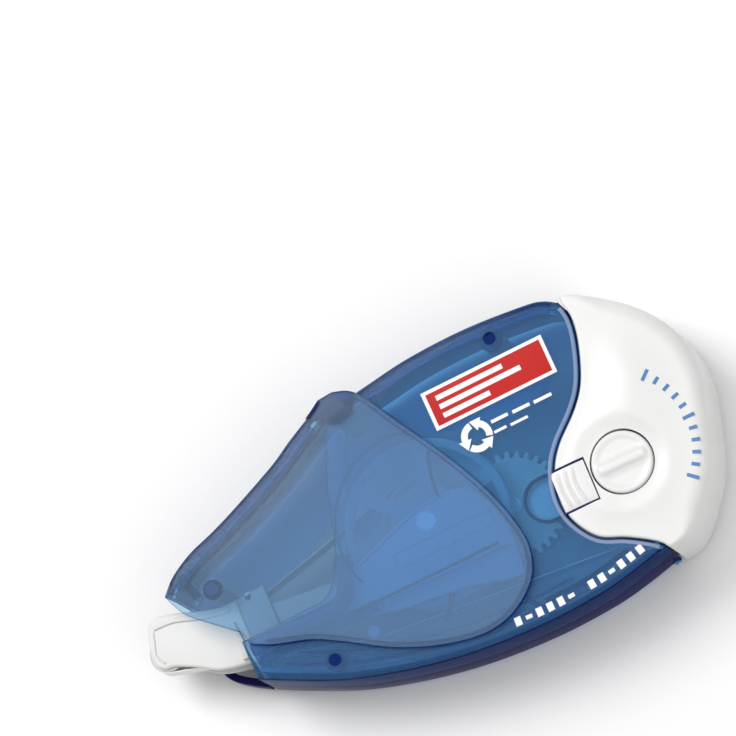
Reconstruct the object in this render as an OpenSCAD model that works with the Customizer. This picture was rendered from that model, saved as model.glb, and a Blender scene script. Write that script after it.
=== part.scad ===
// Refillable correction tape roller, lying flat on its side.
// X runs from the applicator head (-X) to the rear dome (+X), Y runs from the belly to the crown,
// Z runs across the thickness. Outlines are given from the supply reel's axis.

/* [Overall] */
// Thickness over the hood's two cheeks
body_t = 20; // [18:0.5:24]
// Distance from the supply reel's axis to the middle of the length
axis_x = 38; // [36:0.5:40]
// Distance from the supply reel's axis down to the middle of the height
axis_y = -7; // [-8:0.5:-6]

/* [Shells] */
// Thickness of a hood cheek
hood_wall = 1.1; // [0.8:0.1:1.3]
// Thickness of the housing's sides
housing_wall = 1.3; // [1:0.1:1.5]
// Thickness of the housing's top and belly walls
rim_wall = 1.5; // [1.2:0.1:2]
// Thickness of the refill's covers
cover_wall = 1.5; // [1.2:0.1:1.8]
// Gap between parts that slide past each other
gap = 0.2; // [0.15:0.05:0.3]

/* [Posts and pins] */
// Radius of the hood's hinge pin
hinge_r = 1.5; // [1.2:0.1:1.7]
// Radius of the housing's cross posts
post_r = 1.9; // [1.5:0.1:2]
// Radius of the spigots at the ends of the cross posts
spigot_r = 1.2; // [0.8:0.1:1.3]
// Radius of the pin at the front of the hood
hood_pin_r = 1.4; // [1:0.1:1.5]
// Radial play of a turning fit
play = 0.08; // [0.05:0.01:0.1]

/* [Tape] */
// Width of the correction tape
tape_w = 4.2; // [4.2:0.1:5]
// Drawn thickness of a tape strand
strand_t = 0.15; // [0.1:0.05:0.2]
// Radius of the tape wound on the supply reel
supply_roll_r = 13; // [9:0.5:13.5]
// Radius of the used carrier on the take-up reel
take_up_roll_r = 9; // [7:0.5:12]
// Radius of the supply reel's flanges
supply_flange_r = 14.7; // [14:0.1:14.7]
// Radius of the take-up reel's flanges
take_up_flange_r = 15.6; // [14:0.1:15.8]
// Radius of both reel cores
core_r = 6.2; // [5:0.1:6.5]
// Radius of the tip roller
tip_r = 3.2; // [2.5:0.1:3.2]

/* [Gears] */
// Module of the gear train
gear_m = 0.6; // [0.6:0.1:0.6]
// Teeth on the supply gear
supply_teeth = 46; // [46:1:46]
// Teeth on the idler gear
idler_teeth = 32; // [32:1:32]
// Teeth on the take-up gear
take_up_teeth = 18; // [18:1:18]
// Direction of the take-up reel from the supply reel, in degrees
train_angle = 170.7; // [170:0.1:171.5]

/* [Knob and release] */
// Radius of the tension knob
knob_r = 5.8; // [5:0.1:6]
// Half width of the release tongue
tongue_half = 3.9; // [3:0.1:4.2]

/* [Hidden] */
$fn = 96;

shell_blue = [0.26, 0.49, 0.71];
hood_blue = [0.37, 0.57, 0.75];
post_blue = [0.14, 0.2, 0.59];
refill_white = [0.94, 0.94, 0.93];
reel_grey = [0.86, 0.87, 0.87];
tape_white = [0.98, 0.98, 0.96];
carrier_tan = [0.85, 0.8, 0.68];
gear_white = [0.9, 0.9, 0.86];
steel = [0.7, 0.71, 0.73];

// Levels across the thickness
shell_low = hood_wall + gap;
shell_high = body_t - shell_low;
mid_z = body_t / 2;
chassis_low = shell_low + cover_wall;
chassis_high = chassis_low + 1.2;
gear_low = chassis_high + 0.4;
gear_high = gear_low + 2;
flange_t = 0.6;
reel_low = gear_high + 0.7;
tape_low = reel_low + flange_t + 0.1;
tape_high = tape_low + tape_w;
reel_high = tape_high + 0.2 + flange_t;
bridge_low = reel_high + 0.6;
bridge_high = bridge_low + 1.2;
cheek_t = 1;
roller_low = tape_low - 0.3;
roller_high = tape_high + 0.1;
knob_low = body_t - 2.8;
knob_high = body_t - 1;

// Places seen from the supply reel's axis
hinge_at = [-45, 31];
rear_post_at = [-13.5, 31.3];
front_post_at = [-62.6, -11.1];
hood_pin_at = [-78.5, 10.2];
tip_at = [-92.1, 4.3];
supply_guide_at = [-55, -8];
return_guide_at = [-74, 7.6];
bridge_posts_at = [[-55, -1], [-26.8, -8.2]];
tongue_y = -0.4;
tongue_root = -6.4;
mouth_x = -13.2;
tongue_end = -19.3;
guide_r = 1.1;
supply_pitch_r = gear_m * supply_teeth / 2;
idler_pitch_r = gear_m * idler_teeth / 2;
take_up_pitch_r = gear_m * take_up_teeth / 2;
train = [cos(train_angle), sin(train_angle)];
idler_at = (supply_pitch_r + idler_pitch_r) * train;
take_up_at = idler_at + (idler_pitch_r + take_up_pitch_r) * train;

// Outlines, all counter-clockwise. Each list holds the points that its curve passes through.
mouth_curve = curve([[1.2, -17.3], [-1.2, -15.4], [-5, -13.1], [-9.6, -10.8], [-12.7, -6.2],
    [-13.5, -1.5], [-12.3, 3.8], [-9.6, 8], [-4.6, 12.7], [-1.5, 17], [0.8, 23.5], [1.5, 28.5],
    [0.6, 32.2]]);
crown_curve = curve([[0.6, 32.2], [-1.9, 33.7], [-5.7, 34.5], [-17.2, 35.2], [-28.8, 34.7],
    [-38, 33.3], [-42.8, 32.5]]);
boss_curve = [for (a = [60:30:180]) hinge_at + 2.1 * [cos(a), sin(a)]];
under_hood_curve = curve([[-48.4, 28], [-51.5, 20], [-53.8, 12], [-55.5, 6.5], [-59.5, 0.6],
    [-66, -0.2], [-77.4, -0.7]]);
belly_curve = curve([[-77.4, -8.2], [-73, -10.5], [-63, -15], [-53, -18], [-43, -20], [-33, -21],
    [-23, -21.2], [-13, -20.5], [-6, -19.2], [1.2, -17.3]]);
lip_curve = curve([[-85.3, -1.5], [-84, -3.8], [-81, -6.1], [-77.4, -8.2]]);
housing_outline = concat(mouth_curve, crown_curve, boss_curve, under_hood_curve, belly_curve);

spine_curve = curve([[-47, 34.1], [-50, 32.2], [-55, 29.5], [-60, 26.6], [-70, 22], [-75, 20],
    [-80, 18.2], [-84.5, 15.6], [-87.3, 12.8]]);
front_curve = curve([[-87.3, 12.8], [-85.7, 9.2], [-84, 7], [-80, 3.5], [-76.5, 0.5]]);
lobe_curve = curve([[-75.8, -2.2], [-72, -4], [-65, -6.2], [-59.5, -9.2], [-51.8, -13.8],
    [-44.2, -16.9], [-36.5, -18.5], [-31, -18], [-26.5, -15.8], [-23, -12.3], [-21.5, -7.7],
    [-21.8, -3], [-23.8, 3.8], [-26.5, 10], [-30.3, 17], [-35, 24.6], [-38.4, 30.6], [-41, 33.3],
    [-44, 34.4]]);
hood_outline = concat(front_curve, lobe_curve, spine_curve);

dome_curve = curve([[1.9, -18], [5.3, -17.4], [8, -15.8], [10.7, -13], [13.1, -9.9], [14.7, -7.4],
    [16.3, -3.4], [17.8, 1.8], [19, 6.5], [19.5, 10.5], [19.1, 15], [17.9, 18.8], [16, 22.2],
    [13.4, 25.4], [10.6, 28], [6.8, 30.6], [3.3, 32.5], [1.2, 32.9]]);
refill_edge_curve = parallel(mouth_curve, -0.25);
refill_outline = concat(dome_curve, [for (i = [len(refill_edge_curve) - 2:-1:1]) refill_edge_curve[i]]);
pillow_outline = concat(parallel(dome_curve, 2.2), curve([[0.6, 27], [-1.4, 20.6], [-5.4, 14.6],
    [-9.8, 9.4], [-11.8, 4], [-12.2, -1.6], [-10.8, -6.2], [-6.4, -9.8], [-0.6, -12.8]]));

chassis_outline = concat(
    curve([[-77, 7], [-77, -4.2], [-61, -6.6], [-54, -10.4], [-38, -13.2], [-20, -14.6], [1, -15.2]]),
    curve([[3, -15.6], [8, -13.2], [13, -6.4], [16, 1.8], [17.6, 9], [16.2, 17.4], [12, 24.4],
        [6, 28.6], [2, 29.6]]),
    curve([[-4, 28], [-12, 20.5], [-20, 19.5], [-34, 23.4], [-47, 21.6], [-56, 16], [-66, 9.6],
        [-77, 7]]));
bridge_outline = concat(
    curve([[-53.5, 4], [-57.2, 1], [-57, -3.6], [-50, -6.6], [-36, -8.2], [-29, -10]]),
    curve([[-24.8, -10.4], [-24.2, -3], [-25.2, 3], [-28.2, 8.8]]),
    curve([[-32, 10], [-38, 9.5], [-46, 6.9], [-53.5, 4]]));
cheek_outline = concat(
    curve([[-91, 11.4], [-93.2, 10.6], [-94.4, 7.4], [-94.9, 5.2], [-94.7, 3], [-93.4, 1.7],
        [-91.4, 1.4], [-87.4, -0.6], [-84.3, -2.5], [-80, -3.6], [-76.3, -4]]),
    curve([[-70.5, -3.2], [-70.5, 8.6]]),
    curve([[-75.4, 8.1], [-80, 8.2], [-84, 9.3], [-88, 10.7], [-91, 11.4]]));
arm_outline = [[-87, 1.4], [-77, -1.9], [-62, -5.8], [-58.5, -5.8], [-58.5, 3.6], [-70, 4.6],
    [-87, 5.6]];

// A point of the smooth curve between p1 and p2
function between(p0, p1, p2, p3, t) = 0.5 * (2 * p1 + (p2 - p0) * t
    + (2 * p0 - 5 * p1 + 4 * p2 - p3) * t * t + (3 * p1 - p0 - 3 * p2 + p3) * t * t * t);

// A smooth curve through the given points
function curve(p, steps = 3) = let (last = len(p) - 1)
    [for (i = [0:last - 1], s = [0:steps - 1])
        between(p[max(i - 1, 0)], p[i], p[i + 1], p[min(i + 2, last)], s / steps), p[last]];

// An open curve moved sideways to its left
function parallel(p, d) = [for (i = [0:len(p) - 1])
    let (t = p[min(i + 1, len(p) - 1)] - p[max(i - 1, 0)]) p[i] + d * [-t[1], t[0]] / norm(t)];

// A strip of even width to the left of an open curve
function band(p, w) = concat(p, [for (i = [len(p) - 1:-1:0]) parallel(p, w)[i]]);

// Heading of a straight strand from one wheel to the next, from -90 to 270 degrees. A radius is
// positive where the wheel lies on the strand's left and negative where it lies on its right.
function heading(c1, r1, c2, r2) = let (d = c2 - c1, a = atan2(d[1], d[0]) - asin((r2 - r1) / norm(d)))
    a < -90 ? a + 360 : a;

// The point where a strand with heading a touches a wheel
function touch(c, r, a) = c - r * [-sin(a), cos(a)];

// The strand's contact points round a wheel, from one heading to the next
function wrap(c, r, a1, a2, n) = [for (i = [0:n]) touch(c, r, a1 + (a2 - a1) * i / n)];

// A point of the involute of a circle of radius r
function involute(r, a) = r * [cos(a) + a * PI / 180 * sin(a), sin(a) - a * PI / 180 * cos(a)];
function turned(p, a) = [p[0] * cos(a) - p[1] * sin(a), p[0] * sin(a) + p[1] * cos(a)];
function polar_angle(p) = atan2(p[1], p[0]);

// Outline of a spur gear with one tooth centred on angle zero
function gear_outline(teeth, backlash = 0.1, steps = 4) = let (
    pitch_r = gear_m * teeth / 2, base_r = pitch_r * cos(20),
    root_r = pitch_r - 1.2 * gear_m, tip = pitch_r + 0.9 * gear_m,
    start = max(base_r, root_r),
    roll = function (r) sqrt(max(pow(r / base_r, 2) - 1, 0)) * 180 / PI,
    at_pitch = polar_angle(involute(base_r, roll(pitch_r))),
    half = 90 / teeth - backlash / 2 / pitch_r * 180 / PI,
    flank = [for (i = [0:steps]) let (r = start + (tip - start) * i / steps)
        turned(involute(base_r, roll(r)), -half - at_pitch)])
    [for (k = [0:teeth - 1], i = [0:2 * steps + 3])
        turned(
            i == 0 ? root_r * [cos(-180 / teeth + 1.5), sin(-180 / teeth + 1.5)]
            : i <= steps + 1 ? flank[i - 1]
            : i <= 2 * steps + 2 ? [flank[2 * steps + 2 - i][0], -flank[2 * steps + 2 - i][1]]
            : root_r * [cos(180 / teeth - 1.5), sin(180 / teeth - 1.5)],
            k * 360 / teeth)];

// Moves what is drawn from the supply reel's axis to the part's own origin
module from_axis(at = [0, 0]) translate([axis_x + at[0], axis_y + at[1], 0]) children();
module slab(outline, low, high) translate([0, 0, low]) linear_extrude(high - low) polygon(outline);
module rod(r, low, high) translate([0, 0, low]) cylinder(r = r, h = high - low);
module ring(r, bore, low, high) difference() {
    rod(r, low, high);
    rod(bore, low - 1, high + 1);
}

// ---- Housing ----
module housing_side(low, high) difference() {
    slab(housing_outline, low, high);
    translate([hinge_at[0], hinge_at[1], 0]) rod(hinge_r, low - 1, high + 1);
    for (at = [rear_post_at, front_post_at])
        translate([at[0], at[1], 0]) rod(spigot_r, low - 1, high + 1);
}
module housing_rim(low, high) for (edge = [crown_curve, belly_curve]) intersection() {
    slab(band(edge, rim_wall), low, high);
    slab(housing_outline, low, high);
}
module housing_near_shell() color(shell_blue) from_axis() {
    housing_side(shell_high - housing_wall, shell_high);
    housing_rim(mid_z, shell_high - housing_wall);
}
module housing_far_shell() color(shell_blue) from_axis() {
    housing_side(shell_low, shell_low + housing_wall);
    housing_rim(shell_low + housing_wall, mid_z);
    slab(band(lip_curve, rim_wall), shell_low, shell_low + 4.3);
}
module hood_hinge_pin() color(post_blue) from_axis(hinge_at) rod(hinge_r, 0.1, body_t - 0.1);
module cross_post() {
    rod(spigot_r, shell_low, shell_high);
    rod(post_r, shell_low + housing_wall, shell_high - housing_wall);
}
module rear_post() color(post_blue) from_axis(rear_post_at) cross_post();
module front_post() color(post_blue) from_axis(front_post_at) cross_post();

// ---- Hood ----
module hood_cheek(low, high) difference() {
    slab(hood_outline, low, high);
    translate([hinge_at[0], hinge_at[1], 0]) rod(hinge_r + play, low - 1, high + 1);
    translate([hood_pin_at[0], hood_pin_at[1], 0]) rod(spigot_r, low - 1, high + 1);
}
module hood_near_half() color(hood_blue) from_axis() {
    hood_cheek(body_t - hood_wall, body_t);
    slab(band(spine_curve, 1.2), mid_z, body_t - hood_wall);
}
module hood_far_half() color(hood_blue) from_axis() {
    hood_cheek(0, hood_wall);
    slab(band(spine_curve, 1.2), hood_wall, mid_z);
}
module hood_front_pin() color(post_blue) from_axis(hood_pin_at) {
    rod(spigot_r, 0.1, body_t - 0.1);
    rod(hood_pin_r, hood_wall, body_t - hood_wall);
}

// ---- Refill: covers and frame ----
module tongue_window(grow, low, high) translate([0, 0, low]) linear_extrude(high - low)
    translate([tongue_end - 4, tongue_y - tongue_half - grow])
        square([tongue_root + grow - tongue_end + 4, 2 * (tongue_half + grow)]);
module refill_near_cover() color(refill_white) from_axis() {
    difference() {
        union() {
            slab(refill_outline, shell_high - cover_wall, shell_high);
            difference() {
                slab(pillow_outline, shell_high, body_t);
                rod(9.4, shell_high - 1, body_t + 1);
            }
        }
        rod(knob_r + 0.3, shell_high - cover_wall - 1, body_t + 1);
        tongue_window(gap, shell_high - cover_wall - 1, body_t + 1);
    }
    slab(band(dome_curve, 1.2), mid_z, shell_high - cover_wall);
}
module refill_far_cover() color(refill_white) from_axis() {
    slab(refill_outline, shell_low, shell_low + cover_wall);
    slab(pillow_outline, 0, shell_low);
    slab(band(dome_curve, 1.2), shell_low + cover_wall, mid_z);
}
module chassis_plate() color(refill_white) from_axis() slab(chassis_outline, chassis_low, chassis_high);
module bridge_plate() color(refill_white) from_axis() difference() {
    slab(bridge_outline, bridge_low, bridge_high);
    translate([take_up_at[0], take_up_at[1], 0]) rod(1.8, bridge_low - 1, bridge_high + 1);
    for (at = bridge_posts_at) translate([at[0], at[1], 0]) rod(0.7, bridge_low - 1, bridge_high + 1);
}
module bridge_posts() color(refill_white) for (at = bridge_posts_at) from_axis(at) {
    rod(1.2, chassis_high, bridge_low);
    rod(0.7, bridge_low, bridge_high);
}

// ---- Refill: applicator head ----
module applicator_arm() color(refill_white) from_axis() {
    slab(arm_outline, roller_low, roller_high);
    slab([[-77, -1.9], [-62, -5.8], [-58.5, -5.8], [-58.5, 3.6], [-70, 4.6], [-77, 5]],
        chassis_high, roller_low);
}
module head_cheek(low, high) difference() {
    slab(cheek_outline, low, high);
    translate([tip_at[0], tip_at[1], 0]) rod(0.9, low - 1, high + 1);
    translate([return_guide_at[0], return_guide_at[1], 0]) rod(0.6, low - 1, high + 1);
}
module head_near_cheek() color(refill_white) from_axis()
    head_cheek(roller_high, roller_high + cheek_t);
module head_far_cheek() color(refill_white) from_axis() difference() {
    head_cheek(roller_low - cheek_t, roller_low);
    slab([[-77, -10], [-58, -10], [-58, 5.4], [-77, 5.4]], roller_low - cheek_t - 1, roller_low + 1);
}
module tip_roller_pin() color(steel) from_axis(tip_at)
    rod(0.9, roller_low - cheek_t, roller_high + cheek_t);
module return_guide_post() color(refill_white) from_axis(return_guide_at) {
    rod(0.6, roller_low - cheek_t, roller_high + cheek_t);
    rod(guide_r, roller_low, roller_high);
}
module supply_guide_post() color(refill_white) from_axis(supply_guide_at)
    rod(guide_r, chassis_high, tape_high + 0.6);

// ---- Refill: axles ----
module supply_axle() color(steel) from_axis() rod(2, chassis_high, reel_high + 1.2);
module idler_axle() color(steel) from_axis(idler_at) rod(1.6, chassis_high, gear_high + 0.4);
module take_up_axle() color(steel) from_axis(take_up_at) rod(1.8, chassis_high, bridge_high);

// ---- Tape strands ----
strand_gap = strand_t / 2 + 0.08;
h_supply = heading([0, 0], -(supply_roll_r + strand_gap), supply_guide_at, -(guide_r + strand_gap));
h_to_tip = heading(supply_guide_at, -(guide_r + strand_gap), tip_at, -(tip_r + strand_gap));
h_from_tip = heading(tip_at, -(tip_r + strand_gap), return_guide_at, guide_r + strand_gap);
h_return = heading(return_guide_at, guide_r + strand_gap, take_up_at, -(take_up_roll_r + strand_gap));
tip_turn = 60;
supply_path = concat(
    [touch([0, 0], -(supply_roll_r + strand_gap), h_supply)],
    wrap(supply_guide_at, -(guide_r + strand_gap), h_supply, h_to_tip, 4),
    wrap(tip_at, -(tip_r + strand_gap), h_to_tip, tip_turn, 10));
return_path = concat(
    wrap(tip_at, -(tip_r + strand_gap), tip_turn, h_from_tip, 8),
    wrap(return_guide_at, guide_r + strand_gap, h_from_tip, h_return, 4),
    [touch(take_up_at, -(take_up_roll_r + strand_gap), h_return)]);
module strand(path) slab(band(parallel(path, -strand_t / 2), strand_t), tape_low, tape_high);
module tape_run() color(tape_white) from_axis() strand(supply_path);
module carrier_return() color(carrier_tan) from_axis() strand(return_path);

// ---- Release tongue ----
module release_tongue() color(refill_white) from_axis() {
    intersection() {
        slab(refill_outline, shell_high - cover_wall, shell_high);
        tongue_window(0, shell_high - cover_wall, shell_high);
    }
    translate([0, tongue_y, shell_high - cover_wall - 1.4]) linear_extrude(1.2) {
        translate([tongue_end + tongue_half, 0]) circle(r = tongue_half);
        translate([tongue_end + tongue_half, -tongue_half])
            square([mouth_x + 3 - tongue_end - tongue_half, 2 * tongue_half]);
    }
    translate([mouth_x + 0.8, tongue_y - tongue_half, shell_high - cover_wall - 0.2])
        cube([2.2, 2 * tongue_half, 0.2]);
    for (x = [-12, -10.5, -9]) translate([x, tongue_y - 2.6, shell_high]) cube([0.5, 5.2, 0.35]);
}

// ---- Supply reel ----
module supply_gear() color(gear_white) from_axis() difference() {
    translate([0, 0, gear_low]) rotate(train_angle) linear_extrude(gear_high - gear_low)
        polygon(gear_outline(supply_teeth));
    rod(2 + play, gear_low - 1, gear_high + 1);
    for (a = [0:60:300]) rotate(a) translate([8, 0, 0]) rod(2.4, gear_low - 1, gear_high + 1);
}
module clutch_ring() color(steel) from_axis() ring(5, 3.4, gear_high, reel_low - 0.15);
module supply_reel() color(reel_grey) from_axis() difference() {
    union() {
        rod(supply_flange_r, reel_low, reel_low + flange_t);
        rod(core_r, reel_low, reel_high - flange_t);
    }
    rod(2 + play, reel_low - 1, reel_high + 1);
}
module supply_upper_flange() color(reel_grey) from_axis()
    ring(supply_flange_r, 2 + play, reel_high - flange_t, reel_high);
module tape_roll() color(tape_white) from_axis() ring(supply_roll_r, core_r, tape_low, tape_high);
module tension_knob() color(refill_white) from_axis() {
    difference() {
        rod(3.2, reel_high, knob_low);
        rod(2 + play, reel_high - 1, reel_high + 1.4);
    }
    rod(knob_r, knob_low, knob_high);
    translate([-knob_r + 0.6, -0.7, knob_high]) cube([2 * knob_r - 1.2, 1.4, 0.5]);
}

// ---- Idler, take-up reel and tip roller ----
module idler_gear() color(gear_white) from_axis(idler_at) difference() {
    translate([0, 0, gear_low]) rotate(train_angle + 180 + 180 / idler_teeth)
        linear_extrude(gear_high - gear_low) polygon(gear_outline(idler_teeth));
    rod(1.6 + play, gear_low - 1, gear_high + 1);
}
module take_up_gear() color(gear_white) from_axis(take_up_at) difference() {
    translate([0, 0, gear_low]) rotate(train_angle + 180)
        linear_extrude(gear_high - gear_low) polygon(gear_outline(take_up_teeth));
    rod(1.8 + play, gear_low - 1, gear_high + 1);
}
module take_up_reel() color(reel_grey) from_axis(take_up_at) difference() {
    union() {
        rod(3.6, gear_high, reel_low);
        rod(take_up_flange_r, reel_low, reel_low + flange_t);
        rod(core_r, reel_low, reel_high - flange_t);
    }
    rod(1.8 + play, gear_high - 1, reel_high + 1);
}
module take_up_upper_flange() color(reel_grey) from_axis(take_up_at) {
    ring(take_up_flange_r, take_up_flange_r - 1.6, reel_high - flange_t, reel_high);
    difference() {
        union() {
            rod(core_r, reel_high - flange_t, reel_high);
            for (a = [15:60:315]) rotate(a) translate([0, -1.4, reel_high - flange_t])
                cube([take_up_flange_r - 1, 2.8, flange_t]);
        }
        rod(1.8 + play, reel_high - 2, reel_high + 1);
    }
}
module used_carrier_roll() color(carrier_tan) from_axis(take_up_at)
    ring(take_up_roll_r, core_r, tape_low, tape_high);
module tip_roller() color(refill_white) from_axis(tip_at)
    ring(tip_r, 0.9 + play, roller_low + 0.1, roller_high - 0.1);

housing_near_shell();
housing_far_shell();
hood_hinge_pin();
rear_post();
front_post();
hood_near_half();
hood_far_half();
hood_front_pin();
refill_near_cover();
refill_far_cover();
chassis_plate();
bridge_plate();
bridge_posts();
applicator_arm();
head_near_cheek();
head_far_cheek();
tip_roller_pin();
supply_guide_post();
return_guide_post();
supply_axle();
idler_axle();
take_up_axle();
tape_run();
carrier_return();
release_tongue();
supply_gear();
clutch_ring();
supply_reel();
supply_upper_flange();
tape_roll();
tension_knob();
idler_gear();
take_up_gear();
take_up_reel();
take_up_upper_flange();
used_carrier_roll();
tip_roller();
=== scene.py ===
"""A refillable correction tape roller: clear blue housing, tilting clear hood and a white slide-in refill.

Lengths are in millimetres in this file and become metres when a mesh is made. Outlines are measured
from the supply reel's axis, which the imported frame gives. Each sub-assembly is a class that holds its
sizes, builds its pieces and dresses them; the reels, gears, axles and posts are the frame's own solids.
"""
import logging
import math
from dataclasses import dataclass, field
from enum import Enum
from typing import Sequence

import bmesh
import bpy
import numpy as np
from mathutils import Matrix, Vector


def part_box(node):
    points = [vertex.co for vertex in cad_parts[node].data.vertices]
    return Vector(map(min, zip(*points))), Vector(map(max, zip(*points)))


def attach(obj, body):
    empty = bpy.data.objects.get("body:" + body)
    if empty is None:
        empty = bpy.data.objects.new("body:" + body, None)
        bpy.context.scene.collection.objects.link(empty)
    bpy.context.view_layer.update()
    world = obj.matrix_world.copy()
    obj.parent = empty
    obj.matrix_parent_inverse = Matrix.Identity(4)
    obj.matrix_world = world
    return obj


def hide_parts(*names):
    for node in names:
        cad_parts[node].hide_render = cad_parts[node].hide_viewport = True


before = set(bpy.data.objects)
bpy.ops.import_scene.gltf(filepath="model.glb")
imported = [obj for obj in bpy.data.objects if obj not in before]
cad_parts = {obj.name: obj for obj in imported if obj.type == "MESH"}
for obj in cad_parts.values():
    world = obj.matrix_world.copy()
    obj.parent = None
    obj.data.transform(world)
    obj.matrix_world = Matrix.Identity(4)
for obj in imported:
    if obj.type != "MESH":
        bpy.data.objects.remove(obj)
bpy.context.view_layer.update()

MM = 0.001
LOG = logging.getLogger("tape_roller")


# ---------------------------------------------------------------- frame places
def centre_of(node: str) -> np.ndarray:
    """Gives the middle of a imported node's box.

    Args:
        node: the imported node's name.

    Returns:
        The middle point, in millimetres.
    """
    low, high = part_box(node)
    return (np.array(low) + np.array(high)) / 2 / MM


def span_of(node: str) -> tuple[float, float]:
    """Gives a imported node's lowest and highest level across the thickness, in millimetres."""
    low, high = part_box(node)
    return low[2] / MM, high[2] / MM


def span_across(node: str) -> float:
    """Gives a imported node's width along the roller, in millimetres."""
    low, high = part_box(node)
    return (high[0] - low[0]) / MM


AXIS = centre_of("supply_axle")[:2]
HOOD_HIGH = span_of("hood_near_half")[1]
SHELL_LOW, MID_Z = span_of("housing_far_shell")
SHELL_HIGH = span_of("housing_near_shell")[1]
HOOD_WALL = 1.1
SIDE_WALL = 1.3
COVER_WALL = 1.5


# ---------------------------------------------------------------- curves
def smooth_curve(points: Sequence[Sequence[float]], steps: int = 8) -> np.ndarray:
    """Runs a smooth curve through the given points.

    Each span is a Catmull-Rom cubic: its ends are two neighbouring points, and its slope at each end
    is half the chord between the points on either side.

    Args:
        points: the points that the curve passes through, in order.
        steps: how many pieces each span is cut into.

    Returns:
        An array of 2-D points, the last given point included.
    """
    p = np.asarray(points, float)
    padded = np.vstack([p[:1], p, p[-1:]])
    t = np.arange(steps)[None, :, None] / steps
    a, b, c, d = (padded[i:len(p) - 1 + i][:, None, :] for i in range(4))
    cubic = 0.5 * (2 * b + (c - a) * t + (2 * a - 5 * b + 4 * c - d) * t**2 + (3 * b - a - 3 * c + d) * t**3)
    return np.vstack([cubic.reshape(-1, 2), p[-1:]])


def unit(v: np.ndarray) -> np.ndarray:
    """Scales each vector of an array to length one."""
    return v / np.maximum(np.linalg.norm(v, axis=-1, keepdims=True), 1e-9)


def without_repeats(outline: np.ndarray, closest: float = 0.02) -> np.ndarray:
    """Keeps a closed outline's points that are not on top of the point before them."""
    step = np.linalg.norm(outline - np.roll(outline, 1, axis=0), axis=1)
    return outline[step > closest]


def inset(outline: np.ndarray, depth: float | np.ndarray) -> np.ndarray:
    """Moves a counter-clockwise closed outline inwards, mitred at its corners.

    A point moves along the sum of its two edges' inward normals, divided by one plus their dot
    product, so that both edges move in by the same depth. The mitre is held to three depths.

    Args:
        outline: the closed outline's points.
        depth: how far in, one number or one for each point.

    Returns:
        The moved points.
    """
    before = unit(outline - np.roll(outline, 1, axis=0))
    after = np.roll(before, -1, axis=0)
    n1 = np.stack([-before[:, 1], before[:, 0]], axis=1)
    n2 = np.stack([-after[:, 1], after[:, 0]], axis=1)
    spread = np.maximum(1 + np.sum(n1 * n2, axis=1), 0.33)
    return outline + np.broadcast_to(depth, len(outline))[:, None] * (n1 + n2) / spread[:, None]


def side_step(path: np.ndarray, depth: float) -> np.ndarray:
    """Moves an open path to its left by a depth, along normals to its central differences."""
    along = unit(np.gradient(path, axis=0))
    return path + depth * np.stack([-along[:, 1], along[:, 0]], axis=1)


def ribbon_outline(path: np.ndarray, width: float) -> np.ndarray:
    """Gives the closed counter-clockwise outline of a strip centred on an open path."""
    return np.vstack([side_step(path, -width / 2), side_step(path, width / 2)[::-1]])


def smoothstep(x: np.ndarray) -> np.ndarray:
    """Rises from 0 to 1 as x goes from 0 to 1, as three x squared less two x cubed."""
    x = np.clip(x, 0, 1)
    return x * x * (3 - 2 * x)


# Outlines round the supply reel's axis, each through the points that its shape needs.
MOUTH = smooth_curve([(1.2, -17.3), (-1.2, -15.4), (-5, -13.1), (-9.6, -10.8), (-12.7, -6.2),
                      (-13.5, -1.5), (-12.3, 3.8), (-9.6, 8), (-4.6, 12.7), (-1.5, 17), (0.8, 23.5),
                      (1.5, 28.5), (0.6, 32.2)])
CROWN = smooth_curve([(0.6, 32.2), (-1.9, 33.7), (-5.7, 34.5), (-17.2, 35.2), (-28.8, 34.7), (-38, 33.3),
                      (-42.8, 32.5)])
HINGE = (-45.0, 31.0)
BOSS_RADIUS = 2.1
BOSS = np.array([(HINGE[0] + BOSS_RADIUS * math.cos(a), HINGE[1] + BOSS_RADIUS * math.sin(a))
                 for a in np.radians(np.arange(60, 181, 15))])
UNDER_HOOD = smooth_curve([(-48.4, 28), (-51.5, 20), (-53.8, 12), (-55.5, 6.5), (-59.5, 0.6),
                           (-66, -0.2), (-77.4, -0.7)])
BELLY = smooth_curve([(-77.4, -8.2), (-73, -10.5), (-63, -15), (-53, -18), (-43, -20), (-33, -21),
                      (-23, -21.2), (-13, -20.5), (-6, -19.2), (1.2, -17.3)])
LIP = smooth_curve([(-85.3, -1.5), (-84, -3.8), (-81, -6.1), (-77.4, -8.2)])
SPINE = smooth_curve([(-47, 34.1), (-50, 32.2), (-55, 29.5), (-60, 26.6), (-70, 22), (-75, 20),
                      (-80, 18.2), (-84.5, 15.6), (-87.3, 12.8)])
HOOD_FRONT = smooth_curve([(-87.3, 12.8), (-85.7, 9.2), (-84, 7), (-80, 3.5), (-76.5, 0.5)])
LOBE = smooth_curve([(-75.8, -2.2), (-72, -4), (-65, -6.2), (-59.5, -9.2), (-51.8, -13.8),
                     (-44.2, -16.9), (-36.5, -18.5), (-31, -18), (-26.5, -15.8), (-23, -12.3),
                     (-21.5, -7.7), (-21.8, -3), (-23.8, 3.8), (-26.5, 10), (-30.3, 17), (-35, 24.6),
                     (-38.4, 30.6), (-41, 33.3), (-44, 34.4)])
DOME = smooth_curve([(1.9, -18), (5.3, -17.4), (8, -15.8), (10.7, -13), (13.1, -9.9), (14.7, -7.4),
                     (16.3, -3.4), (17.8, 1.8), (19, 6.5), (19.5, 10.5), (19.1, 15), (17.9, 18.8),
                     (16, 22.2), (13.4, 25.4), (10.6, 28), (6.8, 30.6), (3.3, 32.5), (1.2, 32.9)])

# The release tongue: its middle line, and half the width of the slot round it.
TONGUE_MID = -0.4
SLOT_HALF = 4.1


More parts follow.
